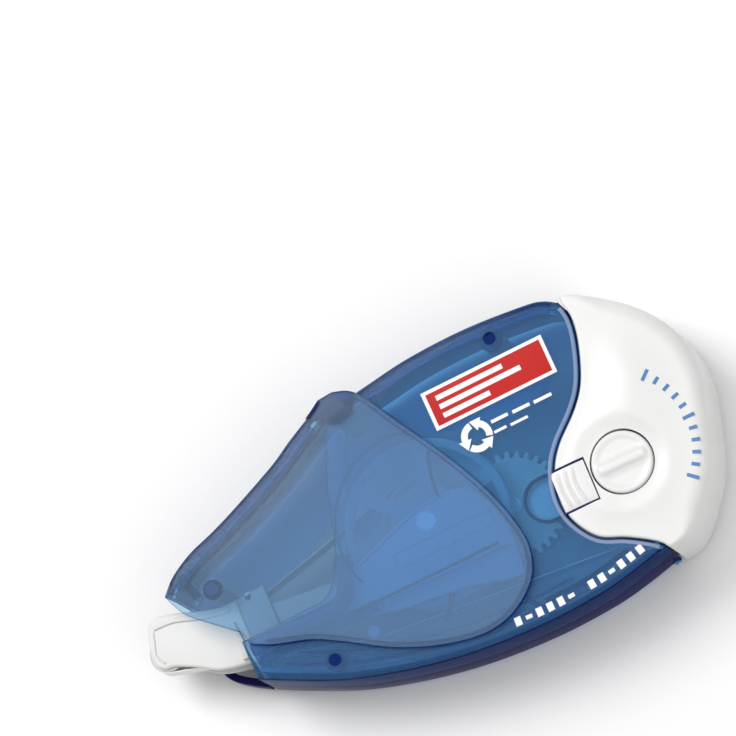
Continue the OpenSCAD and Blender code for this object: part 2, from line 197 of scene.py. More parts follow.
# ---------------------------------------------------------------- meshes
@dataclass
class Solid:
    """Vertices and faces of one closed mesh, in millimetres from the supply reel's axis."""

    verts: np.ndarray
    faces: list[Sequence[int]]

    def flipped(self) -> "Solid":
        """Mirrors the solid across the middle level and turns its faces back outwards."""
        verts = self.verts * (1, 1, -1) + (0, 0, 2 * MID_Z)
        return Solid(verts, [face[::-1] for face in self.faces])

    def moved(self, place: Sequence[float]) -> "Solid":
        """Gives the solid moved across the flat plane."""
        return Solid(self.verts + (place[0], place[1], 0), self.faces)


def together(solids: Sequence[Solid]) -> Solid:
    """Puts several solids into one mesh, in order."""
    starts = np.cumsum([0] + [len(solid.verts) for solid in solids]).tolist()
    faces = [[i + start for i in face] for solid, start in zip(solids, starts) for face in solid.faces]
    return Solid(np.vstack([solid.verts for solid in solids]), faces)


def grid_faces(rows: int, columns: int, wrap_rows: bool = False,
               wrap_columns: bool = True) -> list[Sequence[int]]:
    """Lists the quads of a grid whose vertices are numbered row by row.

    Args:
        rows: number of rows.
        columns: number of vertices in a row.
        wrap_rows: joins the last row to the first.
        wrap_columns: joins the last column to the first.

    Returns:
        One list of four vertex numbers for each quad.
    """
    r = np.arange(rows if wrap_rows else rows - 1)[:, None]
    c = np.arange(columns if wrap_columns else columns - 1)[None, :]
    r2, c2 = (r + 1) % rows, (c + 1) % columns
    quads = np.stack([r * columns + c, r * columns + c2, r2 * columns + c2, r2 * columns + c], axis=-1)
    return quads.reshape(-1, 4).tolist()


def loft(loops: np.ndarray, cap_first: bool = True, cap_last: bool = True, ring: bool = False) -> Solid:
    """Skins a stack of closed loops.

    Args:
        loops: an array of loops, each with the same number of 3-D points.
        cap_first: closes the first loop with one flat face.
        cap_last: closes the last loop with one flat face.
        ring: joins the last loop to the first, so that the skin is a closed tube.

    Returns:
        The skinned solid.
    """
    rows, columns = loops.shape[:2]
    faces = grid_faces(rows, columns, wrap_rows=ring)
    if not ring and cap_first:
        faces.append(list(range(columns))[::-1])
    if not ring and cap_last:
        faces.append([(rows - 1) * columns + i for i in range(columns)])
    return Solid(loops.reshape(-1, 3), faces)


def level(outline: np.ndarray, z: float | np.ndarray) -> np.ndarray:
    """Lifts a flat outline to a level, one for all its points or one for each."""
    return np.column_stack([outline, np.broadcast_to(z, len(outline))])


def rounded_slab(outline: np.ndarray, low: float, high: float, top_round: float | np.ndarray = 0.3,
                 low_round: float = 0.0, steps: int = 5) -> Solid:
    """Builds a plate with quarter-round edges from a counter-clockwise outline.

    At an angle a from 0 to 90 degrees the edge lies in by r times (1 - cos a) and down from the top
    by r times (1 - sin a), and the same upside down at the lower edge.

    Args:
        outline: the plate's outline.
        low: level of the lower face.
        high: level of the upper face.
        top_round: radius of the upper edge, one number or one for each point.
        low_round: radius of the lower edge.
        steps: how many pieces each quarter round has.

    Returns:
        The plate.
    """
    turn = np.linspace(0, math.pi / 2, steps + 1)
    loops = []
    if low_round > 0:
        loops += [level(inset(outline, low_round * (1 - math.cos(a))), low + low_round * (1 - math.sin(a)))
                  for a in turn[::-1]]
    else:
        loops.append(level(outline, low))
    loops += [level(inset(outline, top_round * (1 - math.cos(a))), high - top_round * (1 - math.sin(a)))
              for a in turn]
    return loft(np.array(loops))


def shell_half(outline: np.ndarray, walled: np.ndarray, top: float, side: float, wall: float,
               wall_round: float, edge_round: float, part_line: float = 0.12) -> Solid:
    """Builds the upper half of a hollow case as one closed skin.

    Round the outline the outer skin rises from the parting level, or from the plate's underside where
    the case is open, bends over a quarter round and ends in a flat face. The inner skin follows it a
    wall's thickness inside. A small chamfer at the parting level leaves the fine joint line.

    Args:
        outline: counter-clockwise outline.
        walled: for each point, whether the case has a side wall there.
        top: level of the outer face.
        side: thickness of the flat face.
        wall: thickness of the side wall.
        wall_round: radius of the edge over a wall.
        edge_round: radius of the edge where the case is open.
        part_line: width of the chamfer at the parting level.

    Returns:
        The half case.
    """
    radius = np.where(walled, wall_round, edge_round)
    under = top - side
    foot = np.where(walled, MID_Z, under)
    chamfer = np.where(walled, part_line, 0.0)
    turn = np.linspace(0, math.pi / 2, 7)
    loops = [level(inset(outline, chamfer), foot), level(outline, foot + chamfer)]
    loops += [level(inset(outline, radius * (1 - math.cos(a))), top - radius * (1 - math.sin(a)))
              for a in turn]
    outer = len(loops)
    depth = np.where(walled, wall, 0.6)
    loops += [level(inset(outline, depth + 0.8), under), level(inset(outline, depth), under - 0.8 * walled),
              level(inset(outline, depth), foot)]
    stack = np.array(loops)
    count = len(outline)
    skin = grid_faces(outer, count)
    lower = stack[outer:]
    inner = [[i + outer * count for i in face] for face in grid_faces(len(lower), count)]
    last, first = np.arange(count) + (len(stack) - 1) * count, np.arange(count)
    rim = np.stack([last, np.roll(last, -1), np.roll(first, -1), first], axis=1).tolist()
    face_top = [list(range((outer - 1) * count, outer * count))]
    face_under = [list(range(outer * count, (outer + 1) * count))[::-1]]
    return Solid(stack.reshape(-1, 3), skin + inner + rim + face_top + face_under)


def lathe(profile: Sequence[Sequence[float]], around: int = 96) -> Solid:
    """Turns a profile about the upright axis.

    Args:
        profile: pairs of radius and level; the first and the last may lie close to the axis.
        around: how many points each ring has.

    Returns:
        The turned solid, closed at both ends.
    """
    p = np.asarray(profile, float)
    angle = np.linspace(0, 2 * math.pi, around, endpoint=False)
    flat = p[:, :1, None] * np.stack([np.cos(angle), np.sin(angle)], axis=-1)
    heights = np.repeat(p[:, 1:, None], around, axis=1)
    return loft(np.concatenate([flat, heights], axis=-1))


def sleeve(profile: Sequence[Sequence[float]], around: int = 40) -> Solid:
    """Turns a closed profile of radius and level, so that a hole is left along the axis."""
    return Solid(lathe(profile, around).verts, grid_faces(len(profile), around, wrap_rows=True))


class Shading(Enum):
    """How a piece's faces are shaded."""

    SMOOTH = 40
    CRISP = 20


def make_piece(name: str, solid: Solid, material: bpy.types.Material, body: str,
               replaces: Sequence[str] = (), shading: Shading = Shading.SMOOTH,
               extra: bpy.types.Material | None = None) -> bpy.types.Object:
    """Makes a Blender object from a solid and ties it to the frame.

    Args:
        name: the piece's name.
        solid: its mesh, in millimetres from the supply reel's axis.
        material: its finish.
        body: the body that it rides on.
        replaces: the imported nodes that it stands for.
        shading: how sharp an edge has to be to stay sharp.
        extra: a second material slot's finish, for faces that a caller marks.

    Returns:
        The new object.
    """
    mesh = bpy.data.meshes.new(name)
    verts = (solid.verts + (AXIS[0], AXIS[1], 0)) * MM
    mesh.from_pydata(verts.tolist(), [], solid.faces)
    work = bmesh.new()
    work.from_mesh(mesh)
    bmesh.ops.remove_doubles(work, verts=work.verts, dist=2e-6)
    bmesh.ops.dissolve_degenerate(work, dist=1e-6, edges=work.edges)
    bmesh.ops.recalc_face_normals(work, faces=work.faces)
    for face in work.faces:
        face.smooth = len(face.verts) <= 4
    work.to_mesh(mesh)
    work.free()
    mesh.set_sharp_from_angle(angle=math.radians(shading.value))
    mesh.materials.append(material)
    if extra is not None:
        mesh.materials.append(extra)
    piece = bpy.data.objects.new(name, mesh)
    bpy.context.scene.collection.objects.link(piece)
    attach(piece, body)
    if replaces:
        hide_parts(*replaces)
    LOG.info("%s: %d faces on body %s", name, len(mesh.polygons), body)
    return piece


def carve(piece: bpy.types.Object, cutter: Solid) -> None:
    """Cuts a solid out of a piece and keeps the result as its mesh.

    Args:
        piece: the piece that is cut.
        cutter: the solid that is taken away.
    """
    mesh = bpy.data.meshes.new("cutter")
    mesh.from_pydata(((cutter.verts + (AXIS[0], AXIS[1], 0)) * MM).tolist(), [], cutter.faces)
    tool = bpy.data.objects.new("cutter", mesh)
    bpy.context.scene.collection.objects.link(tool)
    cut = piece.modifiers.new("cut", "BOOLEAN")
    cut.operation = "DIFFERENCE"
    cut.solver = "EXACT"
    cut.object = tool
    result = bpy.data.meshes.new_from_object(piece.evaluated_get(bpy.context.evaluated_depsgraph_get()))
    piece.modifiers.clear()
    piece.data = result
    result.set_sharp_from_angle(angle=math.radians(Shading.SMOOTH.value))
    bpy.data.objects.remove(tool)


# ---------------------------------------------------------------- shader groups
def new_group(name: str, inputs: dict[str, float | tuple[float, ...]],
              outputs: Sequence[str]) -> bpy.types.NodeTree:
    """Starts a shader node group with named sockets.

    Args:
        name: the group's name.
        inputs: each input's name and default; a tuple makes a colour.
        outputs: the outputs' names; one that starts with Colour is a colour, the rest are values.

    Returns:
        The group, with its input and output nodes in place.
    """
    group = bpy.data.node_groups.new(name, "ShaderNodeTree")
    for title, default in inputs.items():
        kind = "NodeSocketColor" if isinstance(default, tuple) else "NodeSocketFloat"
        socket = group.interface.new_socket(name=title, in_out="INPUT", socket_type=kind)
        socket.default_value = (*default, 1.0) if isinstance(default, tuple) else default
    for title in outputs:
        kind = "NodeSocketColor" if title.startswith("Colour") else "NodeSocketFloat"
        group.interface.new_socket(name=title, in_out="OUTPUT", socket_type=kind)
    group.nodes.new("NodeGroupInput")
    group.nodes.new("NodeGroupOutput")
    return group


def feed(tree: bpy.types.NodeTree, value: bpy.types.NodeSocket | float, socket: bpy.types.NodeSocket) -> None:
    """Links a socket to another one, or sets it to a value.

    Args:
        tree: the node tree.
        value: the other socket, a number or a colour.
        socket: the socket that is fed.
    """
    if isinstance(value, bpy.types.NodeSocket):
        tree.links.new(value, socket)
    else:
        socket.default_value = value


def calculate(tree: bpy.types.NodeTree, operation: str,
              *values: bpy.types.NodeSocket | float) -> bpy.types.NodeSocket:
    """Adds a Math node to a node tree.

    Args:
        tree: the tree.
        operation: the node's operation.
        values: what the node works on, sockets or numbers.

    Returns:
        The result's socket.
    """
    node = tree.nodes.new("ShaderNodeMath")
    node.operation = operation
    for value, socket in zip(values, node.inputs):
        feed(tree, value, socket)
    return node.outputs[0]


def blend(tree: bpy.types.NodeTree, share: bpy.types.NodeSocket, first: bpy.types.NodeSocket | tuple,
          second: bpy.types.NodeSocket | tuple) -> bpy.types.NodeSocket:
    """Adds a node that mixes two colours.

    Args:
        tree: the node tree.
        share: the second colour's share.
        first: the first colour, a socket or four numbers.
        second: the second colour, a socket or four numbers.

    Returns:
        The mixed colour's socket.
    """
    node = tree.nodes.new("ShaderNodeMix")
    node.data_type = "RGBA"
    for value, socket in ((share, node.inputs["Factor"]), (first, node.inputs[6]), (second, node.inputs[7])):
        feed(tree, value, socket)
    return node.outputs[2]


def noise_at(group: bpy.types.NodeTree, scale: float, detail: float, stretch: tuple[float, float, float]
             ) -> bpy.types.NodeSocket:
    """Adds noise on Object coordinates to a node tree.

    Args:
        group: the tree.
        scale: noise cells in a metre.
        detail: the noise's octaves.
        stretch: how much each axis is scaled before the noise.

    Returns:
        The noise's Fac socket.
    """
    nodes, links = group.nodes, group.links
    place = nodes.new("ShaderNodeTexCoord")
    turn = nodes.new("ShaderNodeMapping")
    turn.inputs["Scale"].default_value = stretch
    noise = nodes.new("ShaderNodeTexNoise")
    noise.inputs["Scale"].default_value = scale
    noise.inputs["Detail"].default_value = detail
    links.new(place.outputs["Object"], turn.inputs["Vector"])
    links.new(turn.outputs["Vector"], noise.inputs["Vector"])
    return noise.outputs["Fac"]


def ranged(group: bpy.types.NodeTree, value: bpy.types.NodeSocket, low: bpy.types.NodeSocket | float,
           high: bpy.types.NodeSocket | float, start: float = 0.3, end: float = 0.7) -> bpy.types.NodeSocket:
    """Maps a value that runs from start to end onto the range from low to high.

    Args:
        group: the node tree.
        value: the value's socket.
        low: the result at the start, a socket or a number.
        high: the result at the end, a socket or a number.
        start: the value that gives low.
        end: the value that gives high.

    Returns:
        The result's socket.
    """
    node = group.nodes.new("ShaderNodeMapRange")
    node.inputs["From Min"].default_value = start
    node.inputs["From Max"].default_value = end
    for title, bound in (("Value", value), ("To Min", low), ("To Max", high)):
        feed(group, bound, node.inputs[title])
    return node.outputs["Result"]


def handled_surface() -> bpy.types.NodeTree:
    """Builds the group for moulded plastic that has been handled.

    Broad noise drifts the colour between two tones, middling noise leaves duller patches, and a fine
    grain and long faint scratches make the height.

    Returns:
        A group that gives Colour, Roughness and Height.
    """
    group = new_group("handled_surface", {"Tone A": (0.8, 0.8, 0.8), "Tone B": (0.75, 0.75, 0.75),
                                          "Smooth": 0.2, "Dull": 0.35, "Grain": 1.0, "Scratches": 0.5},
                      ["Colour", "Roughness", "Height"])
    given, sink = group.nodes["Group Input"].outputs, group.nodes["Group Output"]
    drift = ranged(group, noise_at(group, 45, 3, (1, 1, 1)), 0.0, 1.0)
    feed(group, blend(group, drift, given["Tone A"], given["Tone B"]), sink.inputs["Colour"])
    patches = ranged(group, noise_at(group, 160, 4, (1, 1, 1)), given["Smooth"], given["Dull"], 0.35, 0.75)
    feed(group, patches, sink.inputs["Roughness"])
    grain = calculate(group, "MULTIPLY", noise_at(group, 2600, 2, (1, 1, 1)), given["Grain"])
    scratched = ranged(group, noise_at(group, 420, 6, (0.12, 1.6, 1)), 0.0, 1.0, 0.62, 0.72)
    streaks = calculate(group, "MULTIPLY", scratched, given["Scratches"])
    feed(group, calculate(group, "SUBTRACT", grain, streaks), sink.inputs["Height"])
    return group


def turned_metal() -> bpy.types.NodeTree:
    """Builds the group for lathe-turned steel.

    Fine level rings of noise drift the roughness and make the height.

    Returns:
        A group that gives Roughness and Height.
    """
    group = new_group("turned_metal", {"Smooth": 0.2, "Dull": 0.4}, ["Roughness", "Height"])
    given, sink = group.nodes["Group Input"].outputs, group.nodes["Group Output"]
    rings = noise_at(group, 900, 3, (0.05, 0.05, 6))
    feed(group, ranged(group, rings, given["Smooth"], given["Dull"]), sink.inputs["Roughness"])
    feed(group, rings, sink.inputs["Height"])
    return group


def wound_layers() -> bpy.types.NodeTree:
    """Builds the group for the edge of a tape roll.

    The tree reads the roll's own Object coordinates, shifted to its axis, and turns them into rings:
    the sine of the distance from the axis times the number of layers.

    Returns:
        A group that gives Colour and Height.
    """
    group = new_group("wound_layers", {"Light": (0.9, 0.9, 0.88), "Shade": (0.6, 0.6, 0.6), "Axis X": 0.0,
                                       "Axis Y": 0.0, "Layers": 2200.0}, ["Colour", "Height"])
    nodes, links = group.nodes, group.links
    given, sink = nodes["Group Input"].outputs, nodes["Group Output"]
    place = nodes.new("ShaderNodeTexCoord")
    axis = nodes.new("ShaderNodeCombineXYZ")
    links.new(given["Axis X"], axis.inputs["X"])
    links.new(given["Axis Y"], axis.inputs["Y"])
    shift = nodes.new("ShaderNodeVectorMath")
    shift.operation = "SUBTRACT"
    links.new(place.outputs["Object"], shift.inputs[0])
    links.new(axis.outputs[0], shift.inputs[1])
    flat = nodes.new("ShaderNodeVectorMath")
    flat.operation = "MULTIPLY"
    flat.inputs[1].default_value = (1, 1, 0)
    links.new(shift.outputs[0], flat.inputs[0])
    reach = nodes.new("ShaderNodeVectorMath")
    reach.operation = "LENGTH"
    links.new(flat.outputs[0], reach.inputs[0])
    turns = calculate(group, "MULTIPLY", reach.outputs["Value"], given["Layers"])
    band = ranged(group, calculate(group, "SINE", turns), 0.0, 1.0, -1.0, 1.0)
    feed(group, blend(group, band, given["Shade"], given["Light"]), sink.inputs["Colour"])
    feed(group, band, sink.inputs["Height"])
    return group


# ---------------------------------------------------------------- finishes
def start_material(name: str) -> tuple[bpy.types.Material, bpy.types.NodeTree, bpy.types.Node]:
    """Makes a node material and gives it, its tree and its Principled shader."""
    material = bpy.data.materials.new(name)
    material.use_nodes = True
    return material, material.node_tree, material.node_tree.nodes["Principled BSDF"]


def add_group(tree: bpy.types.NodeTree, group: bpy.types.NodeTree,
              values: dict[str, float | tuple[float, ...]]) -> bpy.types.Node:
    """Places a shader group in a material with its own values.

    Args:
        tree: the material's node tree.
        group: the group.
        values: each input's value; a tuple of three is a colour.

    Returns:
        The placed node.
    """
    node = tree.nodes.new("ShaderNodeGroup")
    node.node_tree = group
    for title, value in values.items():
        node.inputs[title].default_value = (*value, 1.0) if isinstance(value, tuple) else value
    return node


def add_bump(tree: bpy.types.NodeTree, height: bpy.types.NodeSocket, shader: bpy.types.Node,
             depth: float, strength: float = 0.3) -> None:
    """Feeds a height through a Bump node into a shader's Normal.

    Args:
        tree: the material's node tree.
        height: the height's socket.
        shader: the shader that is bumped.
        depth: the height of the bumps, in metres.
        strength: the share of the bump that shows.
    """
    bump = tree.nodes.new("ShaderNodeBump")
    bump.inputs["Distance"].default_value = depth
    bump.inputs["Strength"].default_value = strength
    tree.links.new(height, bump.inputs["Height"])
    tree.links.new(bump.outputs["Normal"], shader.inputs["Normal"])


@dataclass(frozen=True)
class MouldedPlastic:
    """An opaque moulded plastic with two close tones."""

    name: str
    tone_a: tuple[float, float, float]
    tone_b: tuple[float, float, float]
    smooth: float = 0.25
    dull: float = 0.4
    grain: float = 1.0
    scratches: float = 0.4
    subsurface: float = 0.0
    shine: float = 0.5

    def build(self, group: bpy.types.NodeTree) -> bpy.types.Material:
        """Builds the material: two tones, uneven gloss and a fine grain.

        Args:
            group: the handled-surface group.

        Returns:
            The material.
        """
        material, tree, shader = start_material(self.name)
        node = add_group(tree, group, {"Tone A": self.tone_a, "Tone B": self.tone_b, "Smooth": self.smooth,
                                       "Dull": self.dull, "Grain": self.grain, "Scratches": self.scratches})
        tree.links.new(node.outputs["Colour"], shader.inputs["Base Color"])
        tree.links.new(node.outputs["Roughness"], shader.inputs["Roughness"])
        add_bump(tree, node.outputs["Height"], shader, 0.00001)
        shader.inputs["IOR"].default_value = 1.49
        shader.inputs["Subsurface Weight"].default_value = self.subsurface
        shader.inputs["Subsurface Scale"].default_value = 0.001
        shader.inputs["Specular IOR Level"].default_value = self.shine
        return material


@dataclass(frozen=True)
class ClearPlastic:
    """A see-through moulded plastic. Light keeps its way through it and takes the tint at each skin."""

    name: str
    tint: tuple[float, float, float]
    edge_tint: tuple[float, float, float]
    body_a: tuple[float, float, float]
    body_b: tuple[float, float, float]
    haze: float = 0.12
    gloss: float = 1.5
    smooth: float = 0.06
    dull: float = 0.16
    slant_power: float = 2.2

    def build(self, group: bpy.types.NodeTree) -> bpy.types.Material:
        """Builds the material: tinted clear light under a milky body and a glossy skin.

        The tint goes over to the edge tint by the facing value to a power. The share of the skin is
        the Fresnel value plus the haze.

        Args:
            group: the handled-surface group.

        Returns:
            The material.
        """
        material, tree, shader = start_material(self.name)
        node = add_group(tree, group, {"Tone A": self.body_a, "Tone B": self.body_b, "Smooth": self.smooth,
                                       "Dull": self.dull, "Grain": 0.25, "Scratches": 0.5})
        tree.links.new(node.outputs["Colour"], shader.inputs["Base Color"])
        tree.links.new(node.outputs["Roughness"], shader.inputs["Roughness"])
        add_bump(tree, node.outputs["Height"], shader, 0.000006, 0.2)
        shader.inputs["IOR"].default_value = self.gloss
        facing = tree.nodes.new("ShaderNodeLayerWeight")
        facing.inputs["Blend"].default_value = 0.5
        slant = calculate(tree, "POWER", facing.outputs["Facing"], self.slant_power)
        clear = tree.nodes.new("ShaderNodeBsdfTransparent")
        feed(tree, blend(tree, slant, (*self.tint, 1), (*self.edge_tint, 1)), clear.inputs["Color"])
        fresnel = tree.nodes.new("ShaderNodeFresnel")
        fresnel.inputs["IOR"].default_value = self.gloss
        share = calculate(tree, "ADD", fresnel.outputs[0], self.haze)
        share.node.use_clamp = True
        mix = tree.nodes.new("ShaderNodeMixShader")
        tree.links.new(share, mix.inputs["Fac"])
        tree.links.new(clear.outputs[0], mix.inputs[1])
        tree.links.new(shader.outputs[0], mix.inputs[2])
        tree.links.new(mix.outputs[0], tree.nodes["Material Output"].inputs["Surface"])
        return material


@dataclass(frozen=True)
class TurnedSteel:
    """Bright steel pins and axles."""

    name: str
    colour: tuple[float, float, float] = (0.62, 0.63, 0.66)

    def build(self, group: bpy.types.NodeTree) -> bpy.types.Material:
        """Builds the material.

        Args:
            group: the turned-metal group.

        Returns:
            The material.
        """
        material, tree, shader = start_material(self.name)
        shader.inputs["Base Color"].default_value = (*self.colour, 1)
        shader.inputs["Metallic"].default_value = 1.0
        node = add_group(tree, group, {"Smooth": 0.18, "Dull": 0.38})
        tree.links.new(node.outputs["Roughness"], shader.inputs["Roughness"])
        add_bump(tree, node.outputs["Height"], shader, 0.00001)
        return material


@dataclass(frozen=True)
class WoundTape:
    """The layered edge of a roll of tape."""

    name: str
    light: tuple[float, float, float]
    shade: tuple[float, float, float]
    node: str

    def build(self, group: bpy.types.NodeTree) -> bpy.types.Material:
        """Builds the material, with its rings centred on the roll's node.

        Args:
            group: the wound-layers group.

        Returns:
            The material.
        """
        middle = centre_of(self.node) * MM
        material, tree, shader = start_material(self.name)
        node = add_group(tree, group, {"Light": self.light, "Shade": self.shade, "Axis X": float(middle[0]),
                                       "Axis Y": float(middle[1])})
        tree.links.new(node.outputs["Colour"], shader.inputs["Base Color"])
        add_bump(tree, node.outputs["Height"], shader, 0.00002)
        shader.inputs["Roughness"].default_value = 0.55
        return material


PLASTICS: tuple[MouldedPlastic | ClearPlastic, ...] = (
    MouldedPlastic("refill_white", (0.77, 0.77, 0.76), (0.74, 0.74, 0.73), 0.28, 0.42, 1.0, 0.3, 0.05),
    MouldedPlastic("head_white", (0.74, 0.74, 0.72), (0.70, 0.70, 0.69), 0.35, 0.5, 1.4, 0.3, 0.05),
    MouldedPlastic("frame_white", (0.80, 0.82, 0.83), (0.74, 0.77, 0.79), 0.3, 0.45),
    # The chassis plate and the arm are white plastic deep inside the housing; their dark grey-blues are
    # painted shade.
    MouldedPlastic("chassis_white_painted_shade", (0.15, 0.22, 0.31), (0.13, 0.19, 0.27), 0.3, 0.45),
    MouldedPlastic("arm_white_painted_shade", (0.24, 0.32, 0.41), (0.21, 0.29, 0.37), 0.3, 0.45),
    MouldedPlastic("reel_grey", (0.44, 0.49, 0.54), (0.4, 0.45, 0.5), 0.25, 0.4),
    MouldedPlastic("gear_white", (0.74, 0.74, 0.68), (0.68, 0.68, 0.62), 0.3, 0.45),
    MouldedPlastic("post_blue", (0.010, 0.035, 0.20), (0.014, 0.045, 0.25), 0.3, 0.4, 0.4, 0.2, 0.0, 0.08),
    # An opaque navy that stands in for shade: painted shade in the slots round the tongue and on the hood's
    # inner ribs.
    MouldedPlastic("navy_painted_shade", (0.006, 0.014, 0.09), (0.009, 0.02, 0.12), 0.3, 0.4, 0.3, 0.3, 0.0, 0.08),
    MouldedPlastic("print_white", (0.88, 0.88, 0.88), (0.83, 0.83, 0.84), 0.4, 0.55, 0.6, 0.6),
    MouldedPlastic("print_red", (0.52, 0.012, 0.010), (0.46, 0.01, 0.008), 0.4, 0.55, 0.6, 0.6, 0.0, 0.2),
    MouldedPlastic("print_blue", (0.05, 0.17, 0.42), (0.07, 0.21, 0.47), 0.4, 0.55, 0.6, 0.6),
    MouldedPlastic("film_white", (0.88, 0.88, 0.85), (0.82, 0.82, 0.79), 0.45, 0.6, 1.2, 0.2),
    MouldedPlastic("film_tan", (0.50, 0.47, 0.40), (0.44, 0.41, 0.35), 0.4, 0.6, 1.2, 0.2),
    ClearPlastic("shell_blue", (0.61, 0.845, 0.985), (0.05, 0.11, 0.42), (0.12, 0.34, 0.68),
                 (0.14, 0.38, 0.72), 0.15),
    ClearPlastic("hood_blue", (0.79, 0.915, 0.985), (0.08, 0.15, 0.45), (0.30, 0.51, 0.76),
                 (0.35, 0.56, 0.80), 0.14),
    # A deeper copy of the hood's clear blue for the far hood half: painted shade, not a different plastic.
    ClearPlastic("hood_blue_painted_shade", (0.72, 0.87, 0.965), (0.05, 0.10, 0.40), (0.12, 0.28, 0.55),
                 (0.14, 0.32, 0.6), 0.10),
    ClearPlastic("wall_blue", (0.16, 0.30, 0.66), (0.02, 0.03, 0.2), (0.015, 0.05, 0.24),
                 (0.02, 0.07, 0.29), 0.25, 1.12),
    # A darker copy of the wall finish for the far shell's walls and front lip, low by the floor: painted
    # shade, not a different plastic.
    ClearPlastic("wall_blue_painted_shade", (0.05, 0.05, 0.24), (0.01, 0.01, 0.1), (0.012, 0.010, 0.085),
                 (0.016, 0.014, 0.11), 0.6, 1.05),
    ClearPlastic("socket_blue", (0.10, 0.18, 0.5), (0.02, 0.03, 0.2), (0.01, 0.02, 0.15),
                 (0.014, 0.03, 0.2), 0.35, 1.2),
    # A lighter, milky clear for the mouth bead: a painted highlight on the shell's edge face.
    ClearPlastic("rim_painted_highlight", (0.80, 0.88, 0.95), (0.42, 0.55, 0.8), (0.40, 0.50, 0.72),
                 (0.46, 0.56, 0.78), 0.45, 1.3),
    ClearPlastic("rib_blue", (0.36, 0.56, 0.85), (0.1, 0.18, 0.5), (0.02, 0.09, 0.32),
                 (0.03, 0.12, 0.38), 0.14),
)
ROLLS = (
    WoundTape("tape_layers", (0.9, 0.9, 0.88), (0.66, 0.67, 0.68), "tape_roll"),
    WoundTape("carrier_layers", (0.66, 0.58, 0.42), (0.45, 0.38, 0.26), "used_carrier_roll"),
)


@dataclass
class Finishes:
    """Every finish of the roller, built once."""

    made: dict[str, bpy.types.Material] = field(default_factory=dict)

    def build(self) -> "Finishes":
        """Builds the shader groups and the materials.

        Returns:
            This set, filled.
        """
        surface, metal, layers = handled_surface(), turned_metal(), wound_layers()
        for finish in PLASTICS:
            self.made[finish.name] = finish.build(surface)
        self.made["steel"] = TurnedSteel("steel").build(metal)
        for roll in ROLLS:
            self.made[roll.name] = roll.build(layers)
        return self

    def __getitem__(self, name: str) -> bpy.types.Material:
        """Gives a finish by its name."""
        return self.made[name]


def dress(finishes: Finishes, wanted: dict[str, str]) -> None:
    """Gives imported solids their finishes.

    Args:
        finishes: the roller's finishes.
        wanted: each node's finish, by name.
    """
    for node, finish in wanted.items():
        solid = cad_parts[node]
        if not solid.material_slots:
            solid.data.materials.append(finishes[finish])
        for slot in solid.material_slots:
            slot.material = finishes[finish]
        LOG.info("%s: dressed in %s", node, finish)


def mark_walls(piece: bpy.types.Object, steepest: float = 0.55) -> None:
    """Gives a piece's upright faces its second finish.

    Args:
        piece: the piece, with two material slots.
        steepest: the largest upward share of a normal that still counts as upright.
    """
    polygons = piece.data.polygons
    normals = np.empty(len(polygons) * 3)
    polygons.foreach_get("normal", normals)
    upright = (np.abs(normals.reshape(-1, 3)[:, 2]) < steepest).astype(np.int32)
    polygons.foreach_set("material_index", upright)
    piece.data.update()


# ---------------------------------------------------------------- housing
SKIN = 0.06


